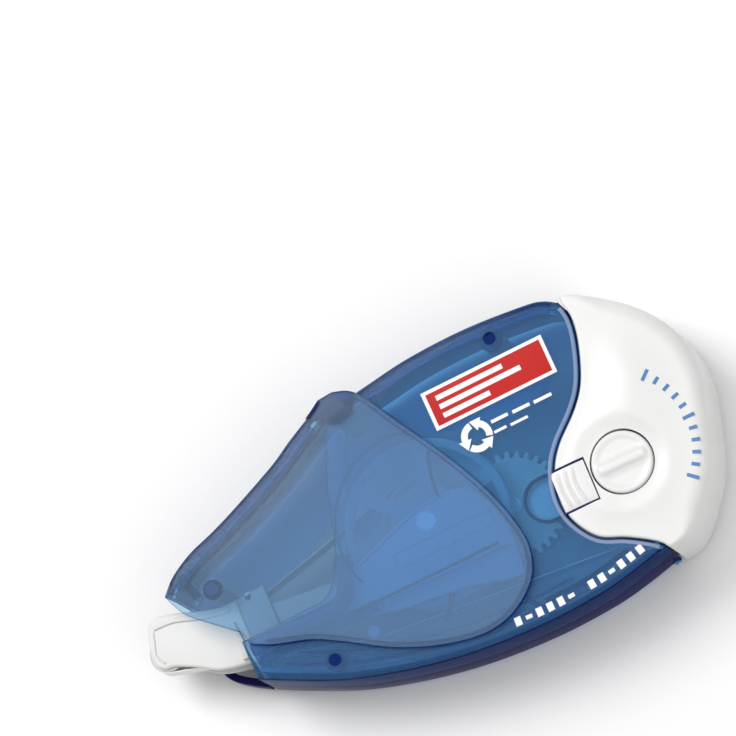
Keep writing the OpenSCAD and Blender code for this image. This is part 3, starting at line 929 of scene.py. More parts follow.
@dataclass
class Housing:
    """The clear two-shell case with its inner ribs and its printing."""

    finishes: Finishes
    wall_round: float = 1.5
    mouth_round: float = 0.75
    rim_wall: float = 1.5
    print_height: float = 0.05
    label_at: tuple[float, float] = (-16.8, 23.75)
    label_tilt: float = 1.6
    ring_at: tuple[float, float] = (-22.6, 15.6)
    ring_radius: float = 2.35
    ring_sweep: float = 78.0
    bar_start: float = 49.0
    bar_pitch: float = 2.15
    bar_width: float = 1.25
    outline: np.ndarray = field(init=False)
    walled: np.ndarray = field(init=False)

    def __post_init__(self) -> None:
        """Joins the case's edges into one outline and notes which of them carry a side wall."""
        parts = [(MOUTH, False), (CROWN, True), (BOSS, False), (UNDER_HOOD, False), (BELLY, True)]
        points = np.vstack([edge for edge, _ in parts])
        flags = np.concatenate([np.full(len(edge), has_wall) for edge, has_wall in parts])
        kept = np.linalg.norm(points - np.roll(points, 1, axis=0), axis=1) > 0.02
        self.outline = inset(points[kept], SKIN)
        self.walled = flags[kept]

    def shells(self) -> None:
        """Builds the near and the far shell, the far one with the lip under the head. The far shell's walls
        and the lip wear a darker copy of the wall finish, which is painted shade.
        """
        half = shell_half(self.outline, self.walled, SHELL_HIGH, SIDE_WALL, self.rim_wall, self.wall_round,
                          self.mouth_round)
        near = make_piece("shell_near", half, self.finishes["shell_blue"], "housing",
                          ["housing_near_shell"], extra=self.finishes["wall_blue"])
        far = make_piece("shell_far", half.flipped(), self.finishes["shell_blue"], "housing",
                         ["housing_far_shell"], extra=self.finishes["wall_blue_painted_shade"])
        mark_walls(near)
        mark_walls(far)
        strip = ribbon_outline(side_step(LIP[:-2], self.rim_wall / 2), self.rim_wall)
        lip = rounded_slab(inset(strip, SKIN), SHELL_LOW + 0.2, SHELL_LOW + 4.3, 0.4)
        self.join("shell_front_lip", [lip], "wall_blue_painted_shade")

    def bosses(self) -> None:
        """Builds the tapered sockets round the two cross posts and the solid boss round the hood's pin."""
        under = SHELL_HIGH - SIDE_WALL
        for node, reach, low in (("rear_post", 2.25, under - 4.5), ("front_post", 2.1, under - 3.0)):
            hole = span_across(node) / 2 + 0.02
            socket = sleeve([(hole, low), (hole + 0.35, low), (reach, under - 0.6), (reach, under + 0.02),
                             (hole, under + 0.02)])
            self.join(f"{node}_socket", [socket.moved(centre_of(node)[:2] - AXIS)], "socket_blue")
        hole, reach = span_across("hood_hinge_pin") / 2 + 0.02, 2.0
        low, high = SHELL_LOW + 0.2, SHELL_HIGH - 0.2
        tube = sleeve([(hole, low), (reach, low), (reach, high), (hole, high)])
        self.join("hinge_sleeve", [tube.moved(HINGE)], "socket_blue")

    def mouth_rim(self) -> None:
        """Builds the bead along the mouth, a dark strip round the tongue and the crown's strip. The bead's
        lighter, milky finish is a painted highlight on the shell's edge face, and the dark strip is painted
        shadow of the slot's gap.
        """
        top = SHELL_HIGH
        bead = rounded_slab(ribbon_outline(side_step(MOUTH[3:-3], 0.62), 0.75), top - 0.3, top + 0.1, 0.2)
        self.join("mouth_bead", [bead], "rim_painted_highlight")
        # The dark strip round the tongue is painted shadow of the slot's gap, seen through the clear shell.
        half, tip = SLOT_HALF, -19.5
        turn = np.radians(np.linspace(90, 270, 25))
        nose = np.stack([tip + half + half * np.cos(turn), TONGUE_MID + half * np.sin(turn)], axis=1)
        path = np.vstack([[(-12.6, TONGUE_MID + half)], nose, [(-13.2, TONGUE_MID - half)]])
        brow = side_step(CROWN[4:-6], 1.75)
        for name, line, width, finish in (("release_slot_painted_shadow", path, 0.5, "navy_painted_shade"),
                                          ("crown_strip", brow, 2.5, "rib_blue")):
            strip = rounded_slab(ribbon_outline(line, width), top - SIDE_WALL + 0.05, top - 0.06, 0.02)
            self.join(name, [strip], finish)

    def ribs(self) -> None:
        """Builds the guide ribs that stand inside the shells. The deep-blue ribs under the near plate are
        real shapes whose dark colour is painted shade for the lines along them.
        """
        under = SHELL_HIGH - SIDE_WALL
        over = SHELL_LOW + SIDE_WALL
        bend = smooth_curve([(-54.3, 6.4), (-55.3, 3), (-56.8, -0.6), (-60, -2), (-67, -2.2),
                             (-76.4, -2.3)], 5)
        rail = smooth_curve([(-52, -4.6), (-60, -4.9), (-68, -5), (-75.6, -5)], 4)
        tail = smooth_curve([(-23, -17.2), (-14, -16.7), (-5.6, -15)], 4)
        cross = smooth_curve([(-26.5, -14.6), (-24.2, -17.8), (-22.4, -20)], 4)
        belly_ribs = [side_step(BELLY[8:58], 3.2), side_step(BELLY[10:54], 5.4)]
        near_ribs = [(bend, 2.9, under - 2.2), (rail, 1.7, under - 2.2), (cross, 1.1, under - 2.4),
                     (belly_ribs[0], 0.6, under - 2.0), (belly_ribs[1], 0.5, under - 1.4)]
        solids = [rounded_slab(ribbon_outline(path, width), low, under + 0.02, 0.02, 0.2)
                  for path, width, low in near_ribs]
        self.join("shell_near_ribs", solids, "rib_blue")
        # Deep-blue ribs under the near plate: their dark colour is painted shade for the lines seen along
        # them.
        sweep = np.radians(np.linspace(75, 205, 40))
        reel = centre_of("take_up_axle")[:2] - AXIS + (-0.4, 0.7)
        arc = reel + 15.9 * np.stack([np.cos(sweep), np.sin(sweep)], axis=1)
        guide = smooth_curve([(-57.2, -4.3), (-42, -4.0), (-26.8, -3.6)], 4)
        mark = smooth_curve([(-38.2, -8.6), (-39.6, -10.8), (-41.2, -13)], 4)
        spoke = smooth_curve([(-32.4, 17.4), (-33.4, 13), (-33.8, 9)], 4)
        shade_line_ribs = [(arc, 0.32), (guide, 0.36), (mark, 0.8), (spoke, 0.4), (tail, 0.9)]
        solids = [rounded_slab(ribbon_outline(path, width), under - 1.3, under + 0.02, 0.02, 0.1)
                  for path, width in shade_line_ribs]
        self.join("shell_near_shade_line_ribs", solids, "socket_blue")
        far_solids = [rounded_slab(ribbon_outline(belly_ribs[0], 0.6), over - 0.02, over + 2.0, 0.2),
                      rounded_slab(ribbon_outline(belly_ribs[1], 0.5), over - 0.02, over + 1.4, 0.2)]
        self.join("shell_far_ribs", far_solids, "rib_blue")

    def join(self, name: str, solids: Sequence[Solid], finish: str) -> None:
        """Puts several solids into one piece that rides on the housing.

        Args:
            name: the piece's name.
            solids: the solids.
            finish: the finish's name.
        """
        make_piece(name, together(solids), self.finishes[finish], "housing")

    def panel(self, width: float, height: float, at: tuple[float, float], lift: float) -> Solid:
        """Gives a flat panel of the label, turned with it.

        Args:
            width: the panel's width.
            height: the panel's height.
            at: the panel's middle, from the label's middle.
            lift: how far it stands above the shell.

        Returns:
            The panel.
        """
        tilt = math.radians(self.label_tilt)
        turn = np.array([[math.cos(tilt), math.sin(tilt)], [-math.sin(tilt), math.cos(tilt)]])
        corners = np.array([(-1, -1), (1, -1), (1, 1), (-1, 1)]) * np.array([width, height]) / 2 + at
        return rounded_slab(corners @ turn + self.label_at, SHELL_HIGH - 0.02, SHELL_HIGH + lift, 0.01)

    def mark(self, outline: np.ndarray) -> Solid:
        """Gives a flat printed mark with a given outline."""
        return rounded_slab(outline, SHELL_HIGH - 0.02, SHELL_HIGH + self.print_height, 0.01)

    def label(self) -> None:
        """Prints the plain label with three strokes of tape, the ring of arrows and two rows of dashes."""
        layer = 0.03
        self.join("label_border", [self.panel(24.6, 7.6, (0, 0), self.print_height)], "print_white")
        self.join("label_field", [self.panel(23.2, 6.3, (0, 0), self.print_height + layer)], "print_red")
        strokes = [self.panel(long, 0.95, (-10 + long / 2, place), self.print_height + 2 * layer)
                   for long, place in ((13.5, 1.75), (16.5, 0), (9.5, -1.75))]
        self.join("label_strokes", strokes, "print_white")
        starts = (100, 220, 340)
        ring = [self.mark(ribbon_outline(self.arc(start), 1.25)) for start in starts]
        heads = [self.mark(self.arrow_head(start)) for start in starts]
        self.join("ring_of_arrows", ring + heads, "print_white")
        rows = ((16.9, (-19.2, -15.8, -14.9, -11.4, -10.6, -7.0), 0.62),
                (14.9, (-19.4, -16.9, -16.1, -12.6), 0.5))
        dashes = [self.mark(ribbon_outline(np.array([(a, y), ((a + b) / 2, y + 0.05), (b, y + 0.1)]), height))
                  for y, ends, height in rows for a, b in zip(ends[::2], ends[1::2])]
        self.join("fine_print_lines", dashes, "print_white")

    def arc(self, start: float) -> np.ndarray:
        """Gives one arc of the ring of arrows, from a start angle in degrees."""
        angle = np.radians(np.linspace(start, start + self.ring_sweep, 12))
        return np.array(self.ring_at) + self.ring_radius * np.stack([np.cos(angle), np.sin(angle)], axis=1)

    def arrow_head(self, start: float) -> np.ndarray:
        """Gives the arrow head at the end of one arc.

        Args:
            start: the arc's start angle, in degrees.

        Returns:
            A triangle's corners, counter-clockwise.
        """
        end = math.radians(start + self.ring_sweep)
        out = np.array([math.cos(end), math.sin(end)])
        along = np.array([-out[1], out[0]])
        at = np.array(self.ring_at) + self.ring_radius * out
        return np.array([at - 1.25 * out, at + 1.25 * out, at + 1.9 * along])

    def belly_marks(self) -> None:
        """Prints two rows of plain upright bars along the lower edge of the near face."""
        line = side_step(BELLY, 2.35)
        run = np.concatenate([[0], np.cumsum(np.linalg.norm(np.diff(line, axis=0), axis=1))])
        bars = []
        for k in (0, 1, 2, 3, 4, 5, 7, 8, 9, 10, 11, 12):
            reach = self.bar_start + k * self.bar_pitch + np.array([0, self.bar_width / 2, self.bar_width])
            path = np.stack([np.interp(reach, run, line[:, 0]), np.interp(reach, run, line[:, 1])], axis=1)
            bar = ribbon_outline(path, 0.75 if k % 4 == 1 else 1.65)
            bars.append(rounded_slab(bar, SHELL_HIGH - 0.1, SHELL_HIGH + self.print_height, 0.01))
        self.join("belly_marks", bars, "print_white")

    def build(self) -> None:
        """Builds and dresses the whole housing."""
        self.shells()
        self.bosses()
        self.mouth_rim()
        self.ribs()
        self.label()
        self.belly_marks()
        dress(self.finishes, dict.fromkeys(("hood_hinge_pin", "rear_post", "front_post"), "post_blue"))


# ---------------------------------------------------------------- hood
@dataclass
class Hood:
    """The clear hood that tilts up about its pin at the crown."""

    finishes: Finishes
    wall: float = 1.2
    wall_round: float = 1.3
    edge_round: float = 0.55
    rib_count: int = 9

    def halves(self) -> None:
        """Builds the near and the far half, which meet along the spine. The far half wears a deeper copy of
        the hood's clear blue, which is painted shade: both halves are one plastic.
        """
        corner = SPINE[:1] + (0.15, 0.02)
        parts = [(HOOD_FRONT, False), (LOBE, False), (corner, False), (SPINE, True)]
        points = np.vstack([edge for edge, _ in parts])
        flags = np.concatenate([np.full(len(edge), has_wall) for edge, has_wall in parts])
        kept = np.linalg.norm(points - np.roll(points, 1, axis=0), axis=1) > 0.02
        half = shell_half(inset(points[kept], SKIN), flags[kept], HOOD_HIGH, HOOD_WALL, self.wall,
                          self.wall_round, self.edge_round)
        near = make_piece("hood_near", half, self.finishes["hood_blue"], "hood",
                          ["hood_near_half"], extra=self.finishes["wall_blue"])
        far = make_piece("hood_far", half.flipped(), self.finishes["hood_blue_painted_shade"], "hood",
                         ["hood_far_half"], extra=self.finishes["wall_blue"])
        mark_walls(near)
        mark_walls(far)

    def spine_ribs(self) -> None:
        """Builds the rail under the near plate along the spine, its short cross ribs and the nose block. The
        shapes are ribs of the clear hood; their opaque navy is painted shade.
        """
        under = HOOD_HIGH - HOOD_WALL
        rail = ribbon_outline(side_step(SPINE[4:58], 3.3), 0.4)
        parts = [rounded_slab(rail, under - 2.2, under + 0.02, 0.02)]
        at = np.linspace(10, 52, self.rib_count).astype(int)
        along = unit(np.gradient(SPINE, axis=0))[at]
        inward = np.stack([-along[:, 1], along[:, 0]], axis=1)
        for centre, side in zip(SPINE[at], inward):
            path = np.array([centre + 1.15 * side, centre + 1.9 * side, centre + 2.6 * side])
            parts.append(rounded_slab(ribbon_outline(path, 0.32), under - 1.2, under + 0.02, 0.02))
        nose = np.array([(-83.4, 15.2), (-82.4, 12.6), (-81.6, 10.0)])
        parts.append(rounded_slab(ribbon_outline(nose, 1.5), under - 3.5, under + 0.02, 0.02))
        make_piece("hood_grip_ribs", together(parts), self.finishes["navy_painted_shade"], "hood")

    def plate_lines(self) -> None:
        """Builds the line along the lobe, the grip strip and the thick hinge corner inside the near plate."""
        low, high = HOOD_HIGH - HOOD_WALL + 0.06, HOOD_HIGH - 0.08
        rim = np.vstack([LOBE[-12:], SPINE[:10], [(-47.6, 29.6), (-45, 28.4), (-42.2, 29.2)]])
        lines = (("hood_lobe_line", ribbon_outline(side_step(LOBE[6:-8], 0.95), 0.3), "rib_blue"),
                 ("hood_grip_strip", ribbon_outline(side_step(SPINE[10:60], 1.75), 2.7), "rib_blue"),
                 ("hood_hinge_corner", inset(without_repeats(rim), 0.12), "socket_blue"))
        for name, outline, finish in lines:
            strip = rounded_slab(outline, low, high, 0.02)
            make_piece(name, strip, self.finishes[finish], "hood")

    def pin_caps(self) -> None:
        """Builds the sockets that hold the front pin and the hinge pin under the near plate."""
        under = HOOD_HIGH - HOOD_WALL
        for node, reach, deep in (("hood_front_pin", 1.9, 2.6), ("hood_hinge_pin", 2.5, 1.0)):
            cap = lathe([(0.01, under - deep), (reach - 0.5, under - deep), (reach - 0.2, under - deep),
                         (reach, under + 0.02), (0.01, under + 0.02)], 40)
            cap = cap.moved(centre_of(node)[:2] - AXIS)
            make_piece(f"{node}_cap", cap, self.finishes["socket_blue"], "hood")

    def build(self) -> None:
        """Builds and dresses the whole hood."""
        self.halves()
        self.spine_ribs()
        self.plate_lines()
        self.pin_caps()
        dress(self.finishes, {"hood_front_pin": "post_blue"})


# ---------------------------------------------------------------- refill
@dataclass
class RefillCovers:
    """The white pillow-shaped covers at the rear, with the knob's dimple and the release tongue."""

    finishes: Finishes
    gap: float = 0.25
    dome_round: float = 3.2
    mouth_round: float = 0.5
    skirt: float = 1.3
    hole: float = 6.05
    dimple: float = 9.6
    dimple_depth: float = 0.85
    hub: tuple[float, float] = (4.0, 2.0)
    hub_turn: float = 0.3
    bow: float = 20.0
    pad_half: float = 3.85
    pad_root: float = -6.5
    pad_end: float = -19.3
    pad_mouth: float = -13.9
    outline: np.ndarray = field(init=False)
    on_dome: np.ndarray = field(init=False)
    radius: np.ndarray = field(init=False)
    rim_start: np.ndarray = field(init=False)

    def __post_init__(self) -> None:
        """Joins the dome and the mouth edge into one outline and blends the edge radius round it."""
        edge = side_step(MOUTH, -self.gap)[::-1][2:-2]
        outline = inset(without_repeats(np.vstack([DOME, edge])), 0.03)
        corners = outline[[0, len(DOME) - 1]]
        from_corner = np.linalg.norm(outline[:, None] - corners, axis=-1).min(axis=1)
        kept = (from_corner < 1e-6) | (from_corner > 1.3)
        self.outline = outline[kept]
        self.on_dome = (np.arange(len(outline)) < len(DOME))[kept]
        share = smoothstep((from_corner[kept] - 0.8) / 9.0) * self.on_dome
        self.radius = self.mouth_round + (self.dome_round - self.mouth_round) * share
        self.rim_start = inset(self.outline, self.radius)

    def height(self, points: np.ndarray, with_dimple: bool) -> np.ndarray:
        """Gives the cover's outer level.

        It rises from the shell's level by the product of two smooth steps: of the distance from the
        dome's rounded rim over 12 mm, and of the distance from the mouth over 10 mm. The dimple lowers
        it by a smooth step of the distance from the knob's axis.

        Args:
            points: flat points.
            with_dimple: whether the dimple is there.

        Returns:
            The level of each point.
        """
        reach = np.linalg.norm(points[..., None, :] - self.rim_start, axis=-1)
        from_dome, from_mouth = reach[..., self.on_dome].min(axis=-1), reach[..., ~self.on_dome].min(axis=-1)
        share = smoothstep(from_dome / 12.0) * smoothstep(from_mouth / 10.0)
        rise = SHELL_HIGH + (HOOD_HIGH - SHELL_HIGH) * share
        inner = self.hole - 0.4
        sunk = 1 - smoothstep((np.linalg.norm(points, axis=-1) - inner) / (self.dimple - inner))
        return rise - self.dimple_depth * sunk * with_dimple

    def cover(self, inner: float, with_dimple: bool) -> Solid:
        """Builds the upper cover as one closed skin between its outline and a round hole.

        The rounded rim ends in a loop; from there, rings run across to a circle round the knob's axis
        and take their level from height. Where a point of the outline meets the circle is the mean of
        its own angle about a hub and an even spread. Near the mouth's upper corner the way across bows
        to the right, by bow times share times (1 - share), so that the rings never fold there.

        Args:
            inner: radius of the hole.
            with_dimple: whether the dimple is there.

        Returns:
            The cover.
        """
        out = self.outline
        under = SHELL_HIGH - COVER_WALL
        walled = self.on_dome.astype(float)
        foot = np.where(self.on_dome, MID_Z, under)
        turn = np.linspace(0, math.pi / 2, 8)
        loops = [level(inset(out, 0.12 * walled), foot), level(out, foot + 0.12 * walled)]
        loops += [level(inset(out, self.radius * (1 - math.cos(a))),
                        SHELL_HIGH - self.radius * (1 - math.sin(a))) for a in turn]
        start = loops[-1][:, :2]
        hub = out - self.hub
        angle = np.unwrap(np.arctan2(hub[:, 1], hub[:, 0]))
        even = angle[0] + 2 * math.pi * np.arange(len(out)) / len(out)
        angle = (angle + even) / 2 - self.hub_turn
        rim = inner * np.stack([np.cos(angle), np.sin(angle)], axis=1)
        share = np.linspace(0, 1, 26)[1:, None, None]
        corner = out[self.on_dome][-1]
        near_corner = 1 - smoothstep(np.linalg.norm(out - corner, axis=1) / self.bow)
        bow = self.bow * near_corner[None, :, None] * (1, 0)
        across = start[None] * (1 - share) + rim[None] * share + bow * share * (1 - share)
        levels = self.height(across, with_dimple)
        loops += [np.concatenate([flat, z[:, None]], axis=1) for flat, z in zip(across, levels)]
        inside = inset(out, np.where(self.on_dome, self.skirt, 0.5))
        under_rim = level(rim, levels[-1] - COVER_WALL)
        loops += [under_rim, level(inset(out, np.where(self.on_dome, self.skirt + 1.6, 1.0)), under),
                  level(inside, np.where(self.on_dome, under - 1.6, under)), level(inside, foot)]
        return loft(np.array(loops), ring=True)

    def covers(self) -> None:
        """Builds both covers and cuts the tongue's window in the near one."""
        near = make_piece("dome_near", self.cover(self.hole, True), self.finishes["refill_white"], "refill",
                          ["refill_near_cover"])
        front, root, half = -24, -6.2, 4.3
        window = np.array([(front, TONGUE_MID - half), (root, TONGUE_MID - half), (root, TONGUE_MID + half),
                           (front, TONGUE_MID + half)])
        carve(near, rounded_slab(window, 12, 24, 0.01))
        make_piece("dome_far", self.cover(0.6, False).flipped(), self.finishes["refill_white"], "refill",
                   ["refill_far_cover"])
        low, high = SHELL_HIGH - COVER_WALL, HOOD_HIGH - 0.06
        gate = lathe([(0.001, low), (0.8, low), (0.8, high), (0.001, high)], 24)
        make_piece("dome_far_gate", gate.flipped(), self.finishes["refill_white"], "refill")

    def tongue(self) -> None:
        """Builds the release tongue: a ribbed pad at the dome, and a lower round end under the shell.

        Rows run along the tongue and columns across it. The top follows the pad's level, drops to the
        lower level just before the mouth, and carries three ribs that curve round the knob's axis.
        """
        half, end = self.pad_half, self.pad_end
        x = np.concatenate([np.linspace(self.pad_root, -13.1, 45), np.linspace(-13.15, end + half, 12)[1:],
                            end + half * (1 - np.sin(np.linspace(0, math.pi / 2, 14)[1:]))])
        lengthwise = np.clip((x - end) / half, 0, 1)
        width = np.where(x < end + half, half * np.sqrt(np.maximum(1 - (1 - lengthwise)**2, 0.0009)), half)
        across = np.linspace(-1, 1, 25)
        shoulder = np.sign(across) * np.abs(across)**0.85
        px = np.repeat(x[:, None], len(across), axis=1)
        py = TONGUE_MID + shoulder[None, :] * width[:, None]
        reach = np.hypot(px, py)
        ribs = sum(0.3 * np.exp(-((reach - r) / 0.26)**2) for r in (9.3, 10.7, 12.1))
        ribs = ribs * (1 - smoothstep((np.abs(across) - 0.68) / 0.2))[None, :] * (px > -12.9)
        pad = SHELL_HIGH + 0.1 + 0.25 * smoothstep((px + 13.4) / 4) - 0.15 * smoothstep((px + 8.4) / 2)
        low_top = SHELL_HIGH - COVER_WALL - 0.25
        drop = smoothstep((-13.05 - px) / 0.5)
        crown = 0.22 * np.abs(across)[None, :]**6
        top = (pad + ribs) * (1 - drop) + low_top * drop - crown
        bottom = np.where(px > self.pad_mouth + 3.0, SHELL_HIGH - COVER_WALL - 0.1, low_top - 1.1)
        upper = np.stack([px, py, top], axis=-1)
        lower = np.stack([px, py, bottom], axis=-1)
        loops = np.concatenate([upper, lower[:, ::-1]], axis=1)
        make_piece("release_pad", loft(loops), self.finishes["refill_white"], "release",
                   ["release_tongue"])

    def slot_shade_strips(self) -> None:
        """Builds dark strips low in the two slots beside the tongue: painted shade in the slot gaps."""
        strips = []
        for y in (TONGUE_MID - SLOT_HALF, TONGUE_MID + SLOT_HALF):
            path = np.array([(-13.6, y), (-10, y), (-6.4, y)])
            strips.append(rounded_slab(ribbon_outline(path, 0.36), SHELL_HIGH - 1.2, SHELL_HIGH - 0.15, 0.02))
        make_piece("release_slot_painted_shade", together(strips), self.finishes["navy_painted_shade"], "refill")

    def gauge_marks(self) -> None:
        """Prints a curved row of plain gauge ticks on the dome."""
        ticks = []
        for k, angle in enumerate(np.radians(np.linspace(44, -40, 11))):
            out = np.array([math.cos(angle), math.sin(angle)])
            long = 2.3 if k % 5 == 0 else 1.5
            middle = np.array([-1.0, 2.0]) + 15.4 * out
            side = np.array([-out[1], out[0]]) * 0.33
            corners = np.array([middle - out * long / 2 - side, middle + out * long / 2 - side,
                                middle + out * long / 2 + side, middle - out * long / 2 + side])
            z = self.height(corners, True)
            ticks.append(loft(np.array([level(corners, z - 0.25), level(corners, z + 0.04)])))
        make_piece("gauge_marks", together(ticks), self.finishes["print_blue"], "refill")

    def build(self) -> None:
        """Builds the covers, the tongue and the gauge marks."""
        self.covers()
        self.tongue()
        self.slot_shade_strips()
        self.gauge_marks()


@dataclass
class TensionKnob:
    """The slotted disc that turns the supply reel by hand."""

    finishes: Finishes
    radius: float = 5.75
    edge: float = 0.45
    ridge: float = 0.5
    ridge_half: float = 0.95

    def build(self) -> None:
        """Builds the knob on a polar grid.

        The face is flat with a shallow hollow on both sides of a ridge across it. The ridge's height
        falls off as e to the minus fourth power of the distance from the middle line, and fades
        towards the rim. A quarter round leads down to the side, and the stem is a smaller cylinder.
        """
        top = span_of("tension_knob")[1] - 0.55
        around = np.linspace(0, 2 * math.pi, 96, endpoint=False)
        reach = np.linspace(0.02, 1, 26) * (self.radius - self.edge)
        r, a = np.meshgrid(reach, around, indexing="ij")
        y = r * np.sin(a)
        fade = 1 - smoothstep((r / self.radius - 0.72) / 0.2)
        ridge = self.ridge * np.exp(-(y / self.ridge_half)**4) * fade
        hollow = 0.28 * smoothstep((np.abs(y) - 0.9) / 1.4) * (1 - smoothstep((r / self.radius - 0.7) / 0.2))
        face = np.stack([r * np.cos(a), y, top + ridge - hollow], axis=-1)
        turn = np.linspace(0, math.pi / 2, 6)[1:]
        rim_r = self.radius - self.edge + self.edge * np.sin(turn)
        rim_z = top - self.edge + self.edge * np.cos(turn)
        low, stem = span_of("tension_knob")[0], 3.2
        under = top - 1.9
        rim_r = np.concatenate([rim_r, [self.radius, stem, stem, 2.1, 2.1, 0.05]])
        rim_z = np.concatenate([rim_z, [under, under, low, low, low + 1.4, low + 1.4]])
        rim = np.stack([rim_r[:, None] * np.cos(around), rim_r[:, None] * np.sin(around),
                        np.repeat(rim_z[:, None], len(around), axis=1)], axis=-1)
        solid = loft(np.concatenate([face, rim])[::-1])
        make_piece("knob", solid, self.finishes["refill_white"], "supply_reel_set",
                   ["tension_knob"])


@dataclass
class RefillFrame:
    """The white inner frame: bridge, applicator head and the solids that carry the reels."""

    finishes: Finishes

    def bridge(self) -> None:
        """Builds the bridge plate with a raised frame round a sunk panel, a rib and a thumb peg."""
        low, high = span_of("bridge_plate")
        outline = without_repeats(np.vstack([
            smooth_curve([(-53.5, 4), (-57.2, 1), (-57, -3.6), (-50, -6.6), (-36, -8.2), (-29, -10)]),
            smooth_curve([(-24.8, -10.4), (-24.2, -3), (-25.2, 3), (-28.2, 8.8)]),
            smooth_curve([(-32, 10), (-38, 9.5), (-46, 6.9), (-53.5, 4)])]))
        high -= 0.05
        parts = [rounded_slab(outline, low, high, 0.35, 0.25)]
        panel_edge = np.array([(-46, 0.2), (-26.5, 0.6), (-26.5, 3.4), (-46, 3.0), (-46, 0.2)])
        for start, end in zip(panel_edge[:-1], panel_edge[1:]):
            side = np.array([start, (start + end) / 2, end])
            parts.append(rounded_slab(ribbon_outline(side, 0.35), high - 0.05, high + 0.3, 0.12))
        rib = np.array([(-53.4, -4), (-40, -4), (-25.4, -4)])
        parts.append(rounded_slab(ribbon_outline(rib, 0.7), high - 0.05, high + 0.55, 0.2))
        edge = smooth_curve([(-52.6, 3.9), (-46, 6.3), (-38, 8.9), (-32, 9.4)])
        parts.append(rounded_slab(ribbon_outline(edge, 0.6), high - 0.05, high + 0.45, 0.2))
        turn = np.linspace(0, 6, 20)
        peg = np.array([-50.4, -4.9]) + 0.9 * np.stack([np.cos(turn), np.sin(turn)], axis=1)
        parts.append(rounded_slab(peg, high - 0.05, high + 0.8, 0.3))
        make_piece("bridge", together(parts), self.finishes["frame_white"], "refill",
                   ["bridge_plate"])

    def head(self) -> None:
        """Builds the two cheeks of the applicator head and the near cheek's tail, whose dark grey-blue is
        painted shade.
        """
        outline = without_repeats(np.vstack([
            smooth_curve([(-91, 11.4), (-93.2, 10.6), (-94.4, 7.4), (-94.9, 5.2), (-94.7, 3),
                          (-93.4, 1.7), (-91.4, 1.4), (-87.4, -0.6), (-84.3, -2.5), (-80, -3.6),
                          (-76.3, -4)]),
            [(-76.3, 8.1)],
            smooth_curve([(-77, 8.1), (-80, 8.2), (-84, 9.3), (-88, 10.7), (-91, 11.4)])]))
        outline = inset(outline, 0.03)
        low, high = span_of("head_near_cheek")
        parts = [rounded_slab(outline, low, high + 0.05, 0.5, 0.15)]
        ridge = smooth_curve([(-92.6, 9.6), (-88.6, 9.4), (-84, 7.9), (-80, 7.0), (-78, 6.9)], 5)
        flange = np.array([(-78.6, -3.0), (-78.2, 0.6), (-78.6, 4.2)])
        slot = np.array([(-77.2, -2.6), (-76.9, -1.0), (-76.8, 0.6)])
        nose = smooth_curve([(-92.9, 9.0), (-93.6, 6.5), (-94.0, 4.6), (-92.9, 2.7)], 5)
        for path, width, lift in ((ridge, 0.9, 0.45), (flange, 1.1, 0.9), (slot, 0.5, 0.5), (nose, 0.5, 0.3)):
            parts.append(rounded_slab(ribbon_outline(path, width), high - 0.05, high + lift, 0.2))
        tail = np.array([(-76.3, -3.97), (-70.53, -3.17), (-70.53, 8.57), (-76.3, 8.07)])
        make_piece("cheek_near_tail", rounded_slab(tail, low, high, 0.3), self.finishes["arm_white_painted_shade"], "refill")
        make_piece("cheek_near", together(parts), self.finishes["head_white"], "refill",
                   ["head_near_cheek"])
        low, high = span_of("head_far_cheek")
        far = rounded_slab(outline, low - 0.05, high, 0.15, 0.4)
        make_piece("cheek_far", far, self.finishes["head_white"], "refill",
                   ["head_far_cheek"])

    def build(self) -> None:
        """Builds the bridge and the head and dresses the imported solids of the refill."""
        self.bridge()
        self.head()
        # The chassis plate and the arm are dressed in dark grey-blue: painted shade on white parts deep in
        # the housing.
        worn = {
            "chassis_white_painted_shade": ["chassis_plate"],
            "frame_white": ["bridge_posts", "supply_guide_post", "return_guide_post"],
            "arm_white_painted_shade": ["applicator_arm"],
            "head_white": ["tip_roller_pin", "tip_roller"],
            "steel": ["supply_axle", "idler_axle", "take_up_axle", "clutch_ring"],
            "film_white": ["tape_run"],
            "film_tan": ["carrier_return"],
            "gear_white": ["supply_gear", "idler_gear", "take_up_gear"],
            "reel_grey": ["supply_reel", "supply_upper_flange", "take_up_reel", "take_up_upper_flange"],
            "tape_layers": ["tape_roll"],
            "carrier_layers": ["used_carrier_roll"]}
        dress(self.finishes, {node: finish for finish, nodes in worn.items() for node in nodes})


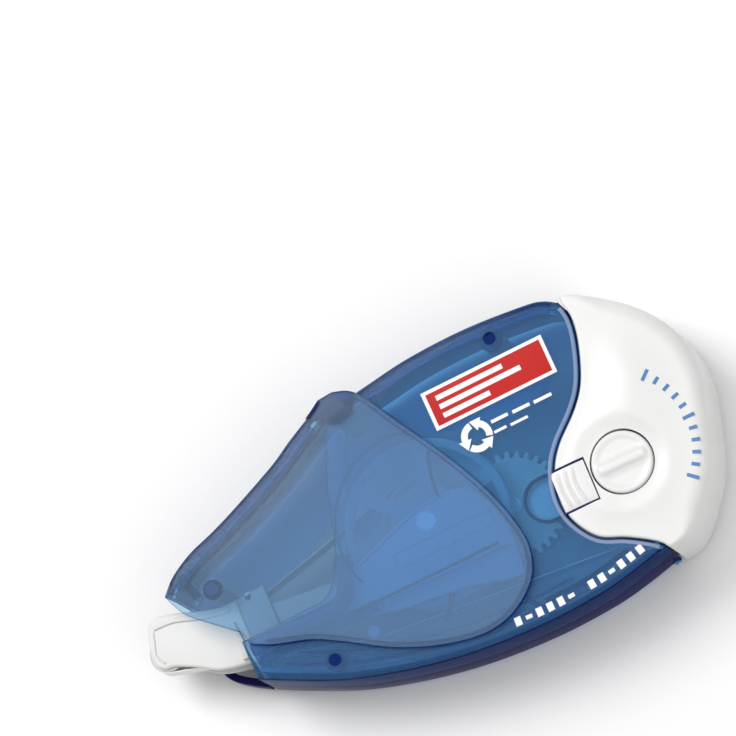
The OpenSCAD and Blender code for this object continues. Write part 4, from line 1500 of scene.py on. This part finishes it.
# ---------------------------------------------------------------- studio
@dataclass
class Studio:
    """A pale floor, soft lamps and a long lens that looks down on the roller."""

    field_width: float = 134.3
    distance: float = 1500.0
    look_at: tuple[float, float, float] = (-36.0, 35.5, 20.0)
    lean: tuple[float, float, float] = (0.15, -0.25, 1.0)
    roll: float = 25.0

    def floor(self) -> None:
        """Lays the floor under the roller."""
        mesh = bpy.data.meshes.new("floor")
        size, drop = 1.5, -0.0001
        corners = [(-size, -size, drop), (size, -size, drop), (size, size, drop), (-size, size, drop)]
        mesh.from_pydata(corners, [], [(0, 1, 2, 3)])
        material, _, shader = start_material("floor_white")
        shader.inputs["Base Color"].default_value = (0.9, 0.9, 0.9, 1)
        shader.inputs["Roughness"].default_value = 0.8
        mesh.materials.append(material)
        floor = bpy.data.objects.new("floor", mesh)
        bpy.context.scene.collection.objects.link(floor)

    def camera(self) -> None:
        """Places the camera: lean sets the view's slant, and roll turns the roller's length uphill."""
        back = Vector(self.lean).normalized()
        turn = math.radians(self.roll)
        right = Vector((math.cos(turn), -math.sin(turn), 0))
        right = (right - right.dot(back) * back).normalized()
        up = back.cross(right)
        data = bpy.data.cameras.new("camera")
        data.lens = data.sensor_width * self.distance / self.field_width
        data.clip_end = 10
        camera = bpy.data.objects.new("camera", data)
        target = Vector((self.look_at[0] + AXIS[0], self.look_at[1] + AXIS[1], self.look_at[2]))
        place = (target + back * self.distance) * MM
        camera.matrix_world = Matrix(((right.x, up.x, back.x, place.x), (right.y, up.y, back.y, place.y),
                                      (right.z, up.z, back.z, place.z), (0, 0, 0, 1)))
        bpy.context.scene.collection.objects.link(camera)
        bpy.context.scene.camera = camera

    def lamp(self, name: str, place: tuple[float, float, float], power: float, size: float) -> None:
        """Hangs one soft square lamp that faces the roller.

        Args:
            name: the lamp's name.
            place: where it hangs, in metres.
            power: its power in watts.
            size: the side of the square, in metres.
        """
        data = bpy.data.lights.new(name, "AREA")
        data.energy = power
        data.size = size
        lamp = bpy.data.objects.new(name, data)
        lamp.location = place
        lamp.rotation_euler = (-Vector(place)).to_track_quat("-Z", "Y").to_euler()
        bpy.context.scene.collection.objects.link(lamp)

    def build(self) -> None:
        """Builds the floor, the camera, the lamps and the room's light."""
        self.floor()
        self.camera()
        self.lamp("key", (-0.35, 0.45, 0.75), 5.3, 0.5)
        self.lamp("fill", (0.5, -0.45, 0.6), 1.6, 0.7)
        self.lamp("top", (0.1, 0.1, 1.1), 3.6, 0.9)
        world = bpy.data.worlds.new("room")
        bpy.context.scene.world = world
        world.use_nodes = True
        background = world.node_tree.nodes["Background"]
        background.inputs["Color"].default_value = (1, 1, 1, 1)
        background.inputs["Strength"].default_value = 0.36
        scene = bpy.context.scene
        scene.view_settings.view_transform = "Standard"
        scene.cycles.transparent_max_bounces = 40


def main() -> None:
    """Builds the studio and the roller."""
    logging.basicConfig(level=logging.INFO, format="%(name)s %(message)s")
    Studio().build()
    finishes = Finishes().build()
    assemblies = (Housing(finishes), Hood(finishes), RefillCovers(finishes), TensionKnob(finishes),
                  RefillFrame(finishes))
    for assembly in assemblies:
        LOG.info("building %s", type(assembly).__name__)
        assembly.build()


if __name__ == "__main__":
    main()
